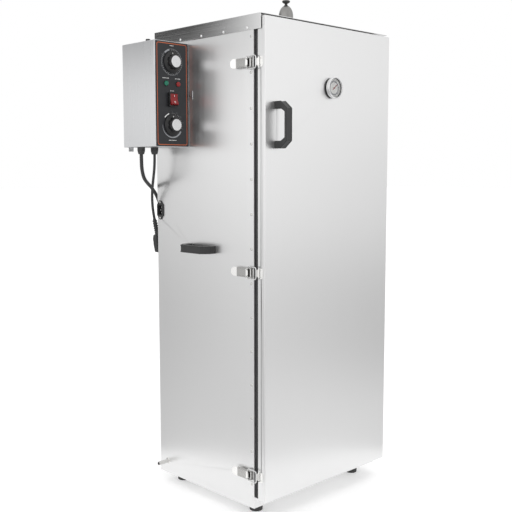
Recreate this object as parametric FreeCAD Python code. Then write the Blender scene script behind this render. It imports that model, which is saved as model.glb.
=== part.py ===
"""Electric cabinet smoker: an insulated steel cabinet with a side-hung control box.

Frame: origin on the floor under the middle of the cabinet body, +X to the right along the
door, +Y towards the back, +Z up. Lengths are in millimetres.
"""
import FreeCAD, Part
import math
import os

os.makedirs("parts", exist_ok=True)

# ---- cabinet body
FOOT_H = 26.0
FOOT_TOP_R = 18.0
FOOT_LOW_R = 16.0
BODY_W = 456.0
BODY_D = 361.0
BODY_H = 1150.0
SHEET = 1.0
SIDE_X = BODY_W / 2
FRONT_Y = -BODY_D / 2
BACK_Y = BODY_D / 2
BASE_Z = FOOT_H
TOP_Z = BASE_Z + BODY_H
BASE_LIP = 20.0

# ---- lid
LID_SHEET = 1.5
LID_FRONT_OVERHANG = 24.5
LID_FLANGE = 34.8
LID_UNDER_Z = TOP_Z - LID_SHEET
LID_SIDE_X = SIDE_X + LID_SHEET

# ---- cooking chamber
CAVITY_X = 189.0
CAVITY_BACK_Y = 164.0
CAVITY_Z0 = BASE_Z + 70.0
CAVITY_Z1 = BASE_Z + 1099.0
RACK_LEVELS = [BASE_Z + 252.0 + 150.0 * i for i in range(5)]
DRIP_LEVEL = BASE_Z + 165.0
RAIL_W = 12.0
RAIL_T = 1.5
RAIL_Y0 = -165.0
RAIL_Y1 = 150.0
RACK_ROD_R = 2.5
RACK_WIRE_R = 1.5
RACK_HALF_W = 182.0
RACK_WIRES = 13

# ---- heater and trays
ELEMENT_R = 4.0
ELEMENT_Z = CAVITY_Z0 + 24.0
ELEMENT_XS = [-105.0, -35.0, 35.0, 105.0]
ELEMENT_Y0 = -60.0
ELEMENT_Y1 = 100.0
ELEMENT_IN_Y = 60.0
ELEMENT_END_X = -212.0
ELEMENT_CORNER_R = 12.0
CHIP_TRAY = (200.0, 130.0, 34.0)
CHIP_TRAY_Y = 20.0
DRIP_TRAY = (350.0, 290.0, 22.0)

# ---- door
GASKET_GAP = 11.4
GASKET_CLEAR = 0.3
GASKET_W = 16.0
GASKET_INSET = 3.0
DOOR_T = 24.0
DOOR_INSET = 2.0
DOOR_X = SIDE_X - DOOR_INSET
DOOR_Z0 = BASE_Z + 22.3
DOOR_Z1 = BASE_Z + 1143.2
DOOR_BACK_Y = FRONT_Y - GASKET_GAP
DOOR_FRONT_Y = DOOR_BACK_Y - DOOR_T

# ---- hinges
HINGE_X = 232.5
HINGE_Y = -186.2
HINGE_ZS = [163.0, 603.0, 1053.0]
KNUCKLE_R = 4.5
KNUCKLE_L = 20.0
KNUCKLE_GAP = 0.4
HINGE_PIN_R = 2.0
LEAF_T = 2.0

# ---- latches
LATCH_ZS = [108.0, 592.0, 1069.5]
LATCH_NAMES = ["lower", "middle", "upper"]
LATCH_X = -232.0
LATCH_Y = -174.0
LATCH_BASE_T = 1.5
LATCH_BASE_HALF = 9.6
LATCH_BASE_REAR_Y = -137.0
LATCH_EAR_T = 1.2
LATCH_EAR_R = 3.4
LATCH_SCREW_YS = [-159.0, -144.0]
LEVER_TOP_X = -238.0
LEVER_LOW_X = -230.2
LEVER_NOSE_Y = -169.5
LEVER_NECK_Y = -163.0
LEVER_TAB_Y = -133.0
LEVER_END_Y = -114.5
LEVER_TAB_RISE = 1.6
LEVER_HALF = 11.0
LEVER_NOSE_HALF = 6.0
LEVER_T = 1.0
LEVER_BOSS_R = 3.2
RIVET_R = 1.5
RIVET_REACH = 0.8

# ---- screws and rivets of the body
SIDE_SCREW_Y = -173.0
SIDE_SCREW_R = 3.6
SIDE_SCREW_Z0 = 58.0
SIDE_SCREW_PITCH = 80.3
LID_RIVET_Z = BASE_Z + 1121.0
BAIL_X = -233.6
BAIL_PIVOT_Y = LATCH_Y + 9.0
BAIL_HOOK = 9.8
BAIL_END_Y = -193.4
BAIL_R = 1.25
BAIL_HALF = 14.2
BAIL_BEND_R = 9.0
CATCH_T = 1.2
CATCH_REACH = 5.4
CATCH_HALF = 12.0
CATCH_LIP_HALF = 8.0
CATCH_REAR_Y = -192.4
CATCH_FRONT_Y = -209.0
PIN_CLEAR = 0.05

# ---- bridge handles
HANDLE_L = 106.0
HANDLE_W = 19.0
HANDLE_OUT = 38.0
HANDLE_SHOULDER = 18.0
HANDLE_BEVEL = 16.5
HANDLE_FOOT = 17.0
HANDLE_GRIP_T = 8.0
DOOR_HANDLE_AT = (-187.0, 930.0)
SIDE_HANDLE_AT = (4.6, 636.5)

# ---- thermometer
DIAL_X = 0.0
DIAL_Z = BASE_Z + 998.4
DIAL_R = 26.0
DIAL_DEPTH = 14.0
DIAL_FACE_OUT = 6.0
DIAL_FACE_T = 0.8
BEZEL_W = 3.0
NEEDLE_TURN = 52.0
STEM_R = 3.0
STEM_REACH = 34.0

# ---- control box
BOX_X0 = -331.6
BOX_Y0 = 49.2
BOX_Y1 = 178.5
BOX_Z0 = 884.5
BOX_Z1 = 1134.5
PANEL_T = 1.5
EAR_Z = 1010.0
EAR_HALF = 10.5
EAR_Y0 = 33.5
EAR_SCREW_Y = 41.5
CONTROL_X = (BOX_X0 - SIDE_X) / 2
TIMER_Z = 1086.1
THERMOSTAT_Z = 936.5
LAMP_Z = 1035.0
LAMP_DX = 18.0
SWITCH_Z = 997.0
SWITCH_OUT = 8.0
SPINDLE_R = 3.0
SKIRT_R = 25.0
CAP_R = 14.0
KNOB_OUT = 15.0
CAP_OUT = 18.5
ROCKER_TILT = 10.0
ROCKER_PIVOT_IN = -3.5

# ---- power inlet, drain, vent, sensor
INLET_Y = 167.1
INLET_Z = 725.5
INLET_SCREW = 20.0
DRAIN_Y = 150.0
DRAIN_Z = BASE_Z + 32.0
DRAIN_X = -180.0
DRAIN_R = 5.0
DRAIN_BODY_R = 6.0
DRAIN_BORE = 4.0
DRAIN_TIP_X = -259.0
VENT_Y = -62.0
VENT_R = 17.0
VENT_WALL = 1.2
VENT_PIPE_TOP = TOP_Z + 38.0
VENT_CAP_TOP = TOP_Z + 65.0
VENT_CAP_SKIRT = 30.0
VENT_CAP_T = 1.1
WINDOW_LOW = 26.0
WINDOW_HIGH = 12.0
WINDOW_W = 12.0
SENSOR_X0 = -150.0
SENSOR_X1 = -60.0
SENSOR_Y = 157.0
SENSOR_Z = 1026.0
SENSOR_R = 3.0
CAPILLARY_R = 1.0
CAPILLARY_END_X = -246.0
WIRING_R = 11.0
WIRING_Y = 120.0
WIRING_Z = 963.0

# ---- cords
GLAND_Y = 143.0
POWER_GLAND_X = -305.0
HEATER_GLAND_X = -264.0
GLAND_L = 17.0
GLAND_R = 10.5
POWER_CORD_R = 4.5
HEATER_LEAD_R = 3.4
POWER_ROUTE = [
    (-305.0, 143.0, 867.5), (-305.0, 143.0, 848.0), (-301.5, 146.0, 827.5),
    (-287.0, 158.0, 807.5), (-261.0, 179.5, 795.5), (-234.0, 198.5, 784.0),
    (-210.0, 209.0, 764.0), (-193.0, 213.0, 731.0), (-180.0, 211.0, 687.0),
    (-170.0, 207.0, 623.0), (-166.0, 207.0, 523.0), (-168.0, 203.0, 428.0),
    (-162.0, 206.0, 323.0), (-165.0, 204.0, 223.0), (-161.0, 207.0, 143.0),
    (-159.0, 207.0, 80.0), (-151.0, 206.0, 30.0), (-122.0, 204.0, 5.0),
    (-82.0, 199.5, 4.6), (-44.0, 198.0, 4.7),
]
PLUG_TAIL = [(-44.0, 198.0, 13.9), (-14.0, 199.5, 13.0), (18.0, 199.5, 13.0)]
HEATER_ROUTE = [
    (-264.0, 143.0, 867.5), (-264.0, 143.0, 841.0), (-261.0, 153.0, 809.0),
    (-253.0, 170.0, 777.0), (-243.0, 184.0, 747.0), (-234.0, 192.0, 719.0),
    (-229.5, 193.0, 701.0),
]
COIL_X = -44.0
COIL_Y = 252.5
COIL_R = 50.0
COIL_HALF_W = 9.0
COIL_H = 18.0

V = FreeCAD.Vector
X_AXIS = V(1, 0, 0)
Y_AXIS = V(0, 1, 0)
Z_AXIS = V(0, 0, 1)


# ---- shape helpers
def block(x0, x1, y0, y1, z0, z1):
    """Box between two corners."""
    return Part.makeBox(x1 - x0, y1 - y0, z1 - z0, V(x0, y0, z0))


def rod(start, end, r):
    """Cylinder from one point to another."""
    a = V(*start)
    line = V(*end) - a
    return Part.makeCylinder(r, line.Length, a, line)


def fuse(shapes):
    """One solid from several that meet or overlap."""
    return shapes[0].multiFuse(shapes[1:]).removeSplitter()


def group(shapes):
    """Separate solids in one node."""
    return Part.makeCompound(shapes)


def prism(points, axis, length):
    """Polygon given as 3-D points, pushed along an axis."""
    corners = [V(*p) for p in points]
    wire = Part.makePolygon(corners + corners[:1])
    return Part.Face(wire).extrude(axis * length)


def turned(profile, centre, axis):
    """Outline of (radius, height) points spun about an axis through the centre."""
    corners = [V(r, 0, h) for r, h in profile]
    spun = Part.Face(Part.makePolygon(corners + corners[:1])).revolve(V(0, 0, 0), Z_AXIS, 360.0)
    spun.Placement = FreeCAD.Placement(V(*centre), FreeCAD.Rotation(Z_AXIS, V(*axis)))
    return spun


def dome_points(r, h, steps=6):
    """Quarter ellipse from the rim up to the crown."""
    turns = [math.pi / 2 * i / steps for i in range(steps + 1)]
    return [(r * math.cos(a), h * math.sin(a)) for a in turns]


def screw(at, axis, head_r=2.6, head_h=1.3, shank_r=1.5, shank_l=6.0):
    """Domed screw or rivet: the head stands along the axis, the shank goes the other way."""
    profile = [(0, -shank_l), (shank_r, -shank_l), (shank_r, 0)]
    crown = dome_points(head_r, head_h)
    crown[-1] = (0, head_h)
    return turned(profile + crown, at, axis)


def tray(cx, cy, z0, size, wall):
    """Open tray with a flat floor."""
    w, d, h = size
    outer = block(cx - w / 2, cx + w / 2, cy - d / 2, cy + d / 2, z0, z0 + h)
    inner = block(
        cx - w / 2 + wall, cx + w / 2 - wall, cy - d / 2 + wall, cy + d / 2 - wall, z0 + wall, z0 + h
    )
    return outer.cut(inner)


def bend_radius(a, b, c):
    """Radius of the arc that rounds a route's corner."""
    u = (b - a).normalize()
    v = (c - b).normalize()
    shorter = min((b - a).Length, (c - b).Length)
    return 0.45 * shorter / math.tan(u.getAngle(v) / 2)


def tube(name, route, r):
    """Cord of straight runs joined by tangent arcs; prints its length and bends."""
    points = [V(*p) for p in route]
    edges = []
    radii = []
    start = points[0]
    for a, b, c in zip(points, points[1:], points[2:]):
        u = (b - a).normalize()
        v = (c - b).normalize()
        half = u.getAngle(v) / 2
        radius = bend_radius(a, b, c)
        cut = radius * math.tan(half)
        first = b - u * cut
        last = b + v * cut
        inward = (v - u).normalize()
        middle = b + inward * (radius / math.cos(half) - radius)
        edges.append(Part.LineSegment(start, first).toShape())
        edges.append(Part.Arc(first, middle, last).toShape())
        start = last
        radii.append(radius)
    edges.append(Part.LineSegment(start, points[-1]).toShape())
    path = Part.Wire(edges)
    ring = Part.Wire(Part.makeCircle(r, points[0], points[1] - points[0]))
    solid = path.makePipeShell([ring], True, False)
    expected = math.pi * r * r * path.Length
    print(
        f"{name}: length {path.Length:.0f}, bends {[round(x) for x in radii]},"
        f" volume ratio {solid.Volume / expected:.4f}"
    )
    return solid


def save(name, shape):
    """One STEP file per node."""
    shape.exportStep(os.path.join("parts", name + ".step"))


# ---- fasteners of the body shell
def shell_screws():
    """Screws and rivets that hold the shell and what is fixed to it."""
    parts = []
    for i in range(14):
        z = BASE_Z + SIDE_SCREW_Z0 + SIDE_SCREW_PITCH * i
        for side in (-1, 1):
            parts.append(screw((side * SIDE_X, SIDE_SCREW_Y, z), (side, 0, 0), SIDE_SCREW_R, shank_l=4.0))
    for i in range(5):
        y = -160.5 + 79.4 * i
        for side in (-1, 1):
            parts.append(screw((side * LID_SIDE_X, y, LID_RIVET_Z), (side, 0, 0), 2.9, 1.2, 1.5, 5.0))
    for x in (-200.0, -100.0, 0.0, 100.0, 200.0):
        parts.append(screw((x, BACK_Y, BASE_Z + 60.0), (0, 1, 0), shank_l=4.0))
    parts.append(screw((-SIDE_X - SHEET, EAR_SCREW_Y, EAR_Z), (-1, 0, 0), 4.0, 2.0, 2.0, 6.0))
    return parts


def inlet_screws():
    """Two screws of the power inlet's flange."""
    x = -SIDE_X - 3.0
    return [
        screw((x, INLET_Y, INLET_Z + s * INLET_SCREW), (-1, 0, 0), 2.9, 1.2, 1.5, 8.0) for s in (-1, 1)
    ]


def latch_screws():
    """Screws that hold the latch bases on the left side panel."""
    x = -SIDE_X - LATCH_BASE_T
    return [screw((x, y, z), (-1, 0, 0), 2.4, 1.0, 1.4, 5.0) for z in LATCH_ZS for y in LATCH_SCREW_YS]


def side_handle_screws():
    """Screws from inside the wall into the side handle's feet."""
    y, z = SIDE_HANDLE_AT
    offset = (HANDLE_L - HANDLE_FOOT) / 2
    return [
        screw((-SIDE_X + SHEET, y + s * offset, z), (1, 0, 0), 4.0, 2.0, 2.0, 10.0) for s in (-1, 1)
    ]


def foot_bolts():
    """Bolts that hold the rubber feet under the base."""
    return [screw((x, y, BASE_Z + SHEET), (0, 0, 1), 5.0, 3.0, 2.5, 8.0) for x, y in foot_places()]


def frame_leaf_screws():
    """Screws of the hinge leaves on the right side panel."""
    x = SIDE_X + LEAF_T
    return [
        screw((x, y, z + dz), (1, 0, 0), 2.9, 1.2, 1.6, 6.0)
        for z in HINGE_ZS
        for y, dz in ((-164.0, -18.0), (-164.0, 18.0), (-156.0, 0.0))
    ]


def foot_places():
    """Centres of the four feet."""
    return [(x, y) for x in (-182.0, 182.0) for y in (-140.0, 140.0)]


# ---- things that pass through the shell's sheets
def drain_elbow(r, tip_x, top_z):
    """Round bar from under the chamber's floor, down and out to the left."""
    corner = (DRAIN_X, DRAIN_Y, DRAIN_Z)
    level = rod(corner, (tip_x, DRAIN_Y, DRAIN_Z), r)
    drop = rod(corner, (DRAIN_X, DRAIN_Y, top_z), r)
    return fuse([level, drop, Part.makeSphere(r, V(*corner))])


def drain_bore():
    """Room for the drain tube, which is thicker inside the wall."""
    tip = rod((-SIDE_X, DRAIN_Y, DRAIN_Z), (DRAIN_TIP_X, DRAIN_Y, DRAIN_Z), DRAIN_R)
    return fuse([drain_elbow(DRAIN_BODY_R, -SIDE_X, CAVITY_Z0), tip])


def vent_bore():
    """Room for the vent pipe."""
    return Part.makeCylinder(VENT_R, VENT_PIPE_TOP - CAVITY_Z1, V(0, VENT_Y, CAVITY_Z1))


def sensor_line():
    """Room for the thermostat's capillary."""
    return rod((SENSOR_X0, SENSOR_Y, SENSOR_Z), (CAPILLARY_END_X, SENSOR_Y, SENSOR_Z), CAPILLARY_R)


def wiring_hole():
    """Room for the wires between the control box and the wall."""
    return rod((-SIDE_X - 2, WIRING_Y, WIRING_Z), (-SIDE_X + 1.5, WIRING_Y, WIRING_Z), WIRING_R)


def element_ends():
    """Room for the two cold ends of the heating element."""
    return [
        rod((SENSOR_X0, y, ELEMENT_Z), (ELEMENT_END_X, y, ELEMENT_Z), ELEMENT_R)
        for y in (ELEMENT_Y1, ELEMENT_IN_Y)
    ]


def inlet_block():
    """Room for the inlet's housing behind the side panel."""
    return block(-SIDE_X - 0.5, -SIDE_X + 24.0, INLET_Y - 10.5, INLET_Y + 10.5, INLET_Z - 14.5, INLET_Z + 14.5)


# ---- body shell
def left_side_panel(cutters):
    """Left wall of the shell."""
    wall = block(-SIDE_X, -SIDE_X + SHEET, FRONT_Y, BACK_Y, BASE_Z, LID_UNDER_Z)
    return wall.cut(cutters)


def right_side_panel(cutters):
    """Right wall of the shell, which carries the hinges."""
    wall = block(SIDE_X - SHEET, SIDE_X, FRONT_Y, BACK_Y, BASE_Z, LID_UNDER_Z)
    return wall.cut(cutters)


def back_panel(cutters):
    """Rear wall of the shell."""
    x = SIDE_X - SHEET
    return block(-x, x, BACK_Y - SHEET, BACK_Y, BASE_Z, LID_UNDER_Z).cut(cutters)


def base_pan(cutters):
    """Bottom sheet with an upturned lip."""
    x = SIDE_X - SHEET
    y = BACK_Y - SHEET
    outer = block(-x, x, -y, y, BASE_Z, BASE_Z + BASE_LIP)
    inner = block(-x + SHEET, x - SHEET, -y + SHEET, y - SHEET, BASE_Z + SHEET, BASE_Z + BASE_LIP)
    return outer.cut(inner).cut(cutters)


def top_lid(cutters):
    """Lid sheet with side and rear flanges; it reaches forward over the door."""
    front = FRONT_Y - LID_FRONT_OVERHANG
    rear = BACK_Y + LID_SHEET
    low = TOP_Z - LID_FLANGE
    sheet = block(-LID_SIDE_X, LID_SIDE_X, front, rear, LID_UNDER_Z, TOP_Z)
    left = block(-LID_SIDE_X, -SIDE_X, front, rear, low, LID_UNDER_Z)
    right = block(SIDE_X, LID_SIDE_X, FRONT_Y, rear, low, LID_UNDER_Z)
    back = block(-LID_SIDE_X, LID_SIDE_X, BACK_Y, rear, low, LID_UNDER_Z)
    return fuse([sheet, left, right, back]).cut(cutters)


def front_frame():
    """Front face of the body round the chamber's mouth."""
    x = SIDE_X - SHEET
    plate = block(-x, x, FRONT_Y, FRONT_Y + SHEET, BASE_Z, LID_UNDER_Z)
    mouth = block(-CAVITY_X, CAVITY_X, FRONT_Y - 1, FRONT_Y + 2, CAVITY_Z0, CAVITY_Z1)
    return plate.cut(mouth)


def inner_liner(cutters):
    """Five-sided box of the cooking chamber, open at the front."""
    x = CAVITY_X + SHEET
    front = FRONT_Y + SHEET
    outer = block(-x, x, front, CAVITY_BACK_Y + SHEET, CAVITY_Z0 - SHEET, CAVITY_Z1 + SHEET)
    inner = block(-CAVITY_X, CAVITY_X, front - 1, CAVITY_BACK_Y, CAVITY_Z0, CAVITY_Z1)
    return outer.cut([inner] + cutters)


def body_insulation(cutters):
    """Mineral wool between the liner and the shell."""
    x = SIDE_X - SHEET
    y = BACK_Y - SHEET
    outer = block(-x, x, -y, y, BASE_Z + BASE_LIP, LID_UNDER_Z)
    lx = CAVITY_X + SHEET
    hollow = block(-lx, lx, -y, CAVITY_BACK_Y + SHEET, CAVITY_Z0 - SHEET, CAVITY_Z1 + SHEET)
    return outer.cut([hollow] + cutters)


# ---- inside the chamber
def rack_guides():
    """Ladder of ledges on each side wall."""
    sides = []
    for side in (-1, 1):
        wall = side * CAVITY_X
        post = wall - side * RAIL_T
        inner = wall - side * RAIL_W
        lo, hi = sorted((wall, post))
        pieces = [
            block(lo, hi, y, y + 15.0, DRIP_LEVEL - 12.0, RACK_LEVELS[-1] + 30.0)
            for y in (RAIL_Y0 + 15.0, RAIL_Y1 - 30.0)
        ]
        lo, hi = sorted((wall, inner))
        for z in [DRIP_LEVEL] + RACK_LEVELS:
            pieces.append(block(lo, hi, RAIL_Y0, RAIL_Y1, z - RAIL_T, z))
        sides.append(fuse(pieces))
    return group(sides)


def wire_rack(level):
    """Wire rack: a rod frame with bars across and one stiffening bar."""
    z = level + RACK_ROD_R
    y0 = RAIL_Y0 + 5.0
    y1 = RAIL_Y1 - 2.0
    x = RACK_HALF_W
    corners = [(-x, y0), (x, y0), (x, y1), (-x, y1)]
    pieces = []
    for (xa, ya), (xb, yb) in zip(corners, corners[1:] + corners[:1]):
        pieces.append(rod((xa, ya, z), (xb, yb, z), RACK_ROD_R))
        pieces.append(Part.makeSphere(RACK_ROD_R, V(xa, ya, z)))
    pitch = 2 * x / (RACK_WIRES + 1)
    for i in range(RACK_WIRES):
        wx = -x + pitch * (i + 1)
        pieces.append(rod((wx, y0, z), (wx, y1, z), RACK_WIRE_R))
    pieces.append(rod((-x, (y0 + y1) / 2, z), (x, (y0 + y1) / 2, z), 1.9))
    return pieces[0].multiFuse(pieces[1:])


def heating_element():
    """Tubular heater bent into three loops, standing on two saddles."""
    y0, y1, z = ELEMENT_Y0, ELEMENT_Y1, ELEMENT_Z
    xs = ELEMENT_XS
    half = (xs[1] - xs[0]) / 2
    bend = ELEMENT_CORNER_R
    end_x = ELEMENT_END_X
    end_y = ELEMENT_IN_Y
    edges = [
        Part.LineSegment(V(end_x, end_y, z), V(xs[0] - bend, end_y, z)).toShape(),
        Part.Arc(
            V(xs[0] - bend, end_y, z),
            V(xs[0] - bend + bend * math.sin(math.pi / 4), end_y - bend + bend * math.cos(math.pi / 4), z),
            V(xs[0], end_y - bend, z),
        ).toShape(),
        Part.LineSegment(V(xs[0], end_y - bend, z), V(xs[0], y0 + half, z)).toShape(),
        Part.Arc(V(xs[0], y0 + half, z), V(xs[0] + half, y0, z), V(xs[1], y0 + half, z)).toShape(),
        Part.LineSegment(V(xs[1], y0 + half, z), V(xs[1], y1 - 2 * half, z)).toShape(),
        Part.Arc(
            V(xs[1], y1 - 2 * half, z), V(xs[1] + half, y1 - half, z), V(xs[2], y1 - 2 * half, z)
        ).toShape(),
        Part.LineSegment(V(xs[2], y1 - 2 * half, z), V(xs[2], y0 + half, z)).toShape(),
        Part.Arc(V(xs[2], y0 + half, z), V(xs[2] + half, y0, z), V(xs[3], y0 + half, z)).toShape(),
        Part.LineSegment(V(xs[3], y0 + half, z), V(xs[3], y1 - bend, z)).toShape(),
        Part.Arc(
            V(xs[3], y1 - bend, z),
            V(xs[3] - bend + bend * math.cos(math.pi / 4), y1 - bend + bend * math.sin(math.pi / 4), z),
            V(xs[3] - bend, y1, z),
        ).toShape(),
        Part.LineSegment(V(xs[3] - bend, y1, z), V(end_x, y1, z)).toShape(),
    ]
    ring = Part.Wire(Part.makeCircle(ELEMENT_R, V(end_x, end_y, z), X_AXIS))
    heater = Part.Wire(edges).makePipeShell([ring], True, False)
    saddles = [block(xs[0] - 8, xs[3] + 8, y - 2, y + 2, CAVITY_Z0, z) for y in (-10.0, 20.0)]
    return heater.multiFuse(saddles)


def chip_tray():
    """Tray for wood chips, standing on the heater."""
    z = ELEMENT_Z + ELEMENT_R
    w, d, h = CHIP_TRAY
    body = tray(0.0, CHIP_TRAY_Y, z, CHIP_TRAY, SHEET)
    front = CHIP_TRAY_Y - d / 2
    lip = block(-30.0, 30.0, front - 14.0, front, z + h - SHEET, z + h)
    return fuse([body, lip])


def drip_tray():
    """Grease tray that hangs on the lowest ledges by its rim."""
    w, d, h = DRIP_TRAY
    body = tray(0.0, -5.0, DRIP_LEVEL - h, DRIP_TRAY, SHEET)
    rim = block(-w / 2 - 7.0, w / 2 + 7.0, -5.0 - d / 2, -5.0 + d / 2, DRIP_LEVEL, DRIP_LEVEL + SHEET)
    opening = block(
        -w / 2 + SHEET, w / 2 - SHEET, -5.0 - d / 2 + SHEET, -5.0 + d / 2 - SHEET,
        DRIP_LEVEL - 1.0, DRIP_LEVEL + 2.0,
    )
    return fuse([body, rim.cut(opening)])


def sensor_bulb():
    """Thermostat bulb on the rear wall, with its capillary out to the control box."""
    bulb = rod((SENSOR_X0, SENSOR_Y, SENSOR_Z), (SENSOR_X1, SENSOR_Y, SENSOR_Z), SENSOR_R)
    clips = [
        block(x - 4, x + 4, SENSOR_Y - 1.0, CAVITY_BACK_Y, SENSOR_Z - 1.0, SENSOR_Z + 1.0)
        for x in (-130.0, -80.0)
    ]
    return bulb.multiFuse(clips + [sensor_line()])


# ---- outside fittings of the body
def feet():
    """Tapered rubber feet."""
    profile = [(0, 0), (FOOT_LOW_R, 0), (FOOT_TOP_R, BASE_Z), (0, BASE_Z)]
    return [turned(profile, (x, y, 0), (0, 0, 1)) for x, y in foot_places()]


def bridge(along, out, across, centre):
    """Bridge handle with bevelled corners; the three axes place it on a wall."""
    half = HANDLE_L / 2
    shoulder = HANDLE_SHOULDER
    crown = half - HANDLE_BEVEL
    foot = half - HANDLE_FOOT
    grip = foot - HANDLE_GRIP_T
    under = HANDLE_OUT - HANDLE_GRIP_T
    right = [(crown, HANDLE_OUT), (half, shoulder), (half, 0), (foot, 0), (foot, shoulder), (grip, under)]
    points = right + [(-u, v) for u, v in reversed(right)]
    base = V(*centre) - across * (HANDLE_W / 2)
    corners = [base + along * u + out * v for u, v in points]
    face = Part.Face(Part.makePolygon(corners + corners[:1]))
    return face.extrude(across * HANDLE_W)


def side_handle():
    """Carrying handle on the left wall."""
    y, z = SIDE_HANDLE_AT
    return bridge(Y_AXIS, -X_AXIS, Z_AXIS, (-SIDE_X, y, z))


def power_inlet():
    """Flanged appliance inlet with a recessed socket and three blades."""
    x = -SIDE_X
    flange = block(x - 3.0, x, INLET_Y - 12.7, INLET_Y + 12.7, INLET_Z - 14.5, INLET_Z + 14.5)
    ears = [
        Part.makeCylinder(6.5, 3.0, V(x - 3.0, INLET_Y, INLET_Z + s * 18.1), X_AXIS) for s in (-1, 1)
    ]
    housing = inlet_block()
    body = fuse([flange, housing] + ears)
    recess = block(x - 4.0, x + 14.0, INLET_Y - 8.2, INLET_Y + 8.2, INLET_Z - 12.0, INLET_Z + 12.0)
    body = body.cut(recess)
    blades = [
        block(x + 1.0, x + 20.0, INLET_Y + dy - 1.0, INLET_Y + dy + 1.0, INLET_Z + dz - 2.0, INLET_Z + dz + 2.0)
        for dy, dz in ((2.0, 0.0), (-2.0, 7.0), (-2.0, -7.0))
    ]
    return fuse([body] + blades)


def drain_spout():
    """Grease drain: down from the chamber floor and out of the left wall."""
    return drain_bore().cut(drain_elbow(DRAIN_BORE, DRAIN_TIP_X - 1, CAVITY_Z0 + 1))


def side_windows(r, z0, z1):
    """Three cutters that open windows in a round wall."""
    cuts = []
    for i in range(3):
        cut = block(0.0, r + 5.0, -WINDOW_W / 2, WINDOW_W / 2, z0, z1)
        cut.rotate(V(0, 0, 0), Z_AXIS, 120.0 * i)
        cut.translate(V(0, VENT_Y, 0))
        cuts.append(cut)
    return cuts


def vent_pipe():
    """Smoke outlet pipe with windows under the cap and a flange on the lid."""
    bottom = CAVITY_Z1
    pipe = Part.makeCylinder(VENT_R, VENT_PIPE_TOP - bottom, V(0, VENT_Y, bottom))
    flange = Part.makeCylinder(VENT_R + 8.0, 1.2, V(0, VENT_Y, TOP_Z))
    bore = Part.makeCylinder(VENT_R - VENT_WALL, VENT_PIPE_TOP - bottom, V(0, VENT_Y, bottom))
    windows = side_windows(VENT_R, VENT_PIPE_TOP - WINDOW_LOW, VENT_PIPE_TOP - WINDOW_HIGH)
    return pipe.fuse(flange).cut([bore] + windows)


def damper_cap():
    """Domed cap that turns on the pipe; its windows pass over the pipe's."""
    inner_r = VENT_R + PIN_CLEAR
    outer_r = inner_r + VENT_CAP_T
    z0 = VENT_PIPE_TOP - VENT_CAP_SKIRT
    z1 = VENT_PIPE_TOP + 0.2
    rise = VENT_CAP_TOP - z1
    shell = dome_points(outer_r, rise, 8)
    shell[-1] = (0, rise)
    inner = dome_points(inner_r, rise - VENT_CAP_T, 8)
    inner[-1] = (0, rise - VENT_CAP_T)
    profile = [(inner_r, z0 - z1), (outer_r, z0 - z1)] + shell + inner[::-1]
    cap = turned(profile, (0, VENT_Y, z1), (0, 0, 1))
    return cap.cut(side_windows(outer_r, VENT_PIPE_TOP - WINDOW_LOW, VENT_PIPE_TOP - WINDOW_HIGH))


def damper_knob():
    """Knob on the cap's crown."""
    z = VENT_CAP_TOP
    profile = [(0, 0), (3.5, 0), (3.5, 3.0), (8.0, 6.0), (10.0, 9.0), (9.0, 11.5), (5.0, 12.0), (0, 12.0)]
    return turned(profile, (0, VENT_Y, z), (0, 0, 1)).cut(damper_cap())


# ---- hinges
def frame_leaf(z):
    """Fixed leaf: a plate on the wall with an upper and a lower knuckle."""
    half = 1.5 * KNUCKLE_L
    mid = KNUCKLE_L / 2 + KNUCKLE_GAP
    plate = block(SIDE_X, SIDE_X + LEAF_T, -177.0, -150.0, z - half, z + half)
    pieces = [plate]
    for lo, hi in ((z - half, z - mid), (z + mid, z + half)):
        pieces.append(block(SIDE_X, SIDE_X + LEAF_T, HINGE_Y, -177.0, lo, hi))
        pieces.append(Part.makeCylinder(KNUCKLE_R, hi - lo, V(HINGE_X, HINGE_Y, lo)))
    leaf = fuse(pieces)
    return leaf.cut(Part.makeCylinder(HINGE_PIN_R, 100.0, V(HINGE_X, HINGE_Y, z - 50.0)))


def hinge_pin(z):
    """Pin pressed in the fixed knuckles, with a small head on top."""
    half = 1.5 * KNUCKLE_L
    shank = Part.makeCylinder(HINGE_PIN_R, 2 * half, V(HINGE_X, HINGE_Y, z - half))
    head = Part.makeCylinder(3.5, 1.5, V(HINGE_X, HINGE_Y, z + half))
    return fuse([shank, head])


def door_leaf(z):
    """Moving leaf: a plate on the door's edge with the middle knuckle."""
    half = 1.5 * KNUCKLE_L
    mid = KNUCKLE_L / 2
    plate = block(DOOR_X, DOOR_X + LEAF_T - 0.2, DOOR_FRONT_Y + 3.0, DOOR_BACK_Y, z - half, z + half)
    arm = block(DOOR_X, SIDE_X + LEAF_T, DOOR_BACK_Y, HINGE_Y, z - mid, z + mid)
    arm = arm.cut(block(DOOR_X - 1, DOOR_X + 1.2, DOOR_BACK_Y + 1.8, HINGE_Y + 1, z - mid, z + mid))
    knuckle = Part.makeCylinder(KNUCKLE_R, 2 * mid, V(HINGE_X, HINGE_Y, z - mid))
    leaf = fuse([plate, arm, knuckle])
    return leaf.cut(Part.makeCylinder(HINGE_PIN_R + PIN_CLEAR, 100.0, V(HINGE_X, HINGE_Y, z - 50.0)))


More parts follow.
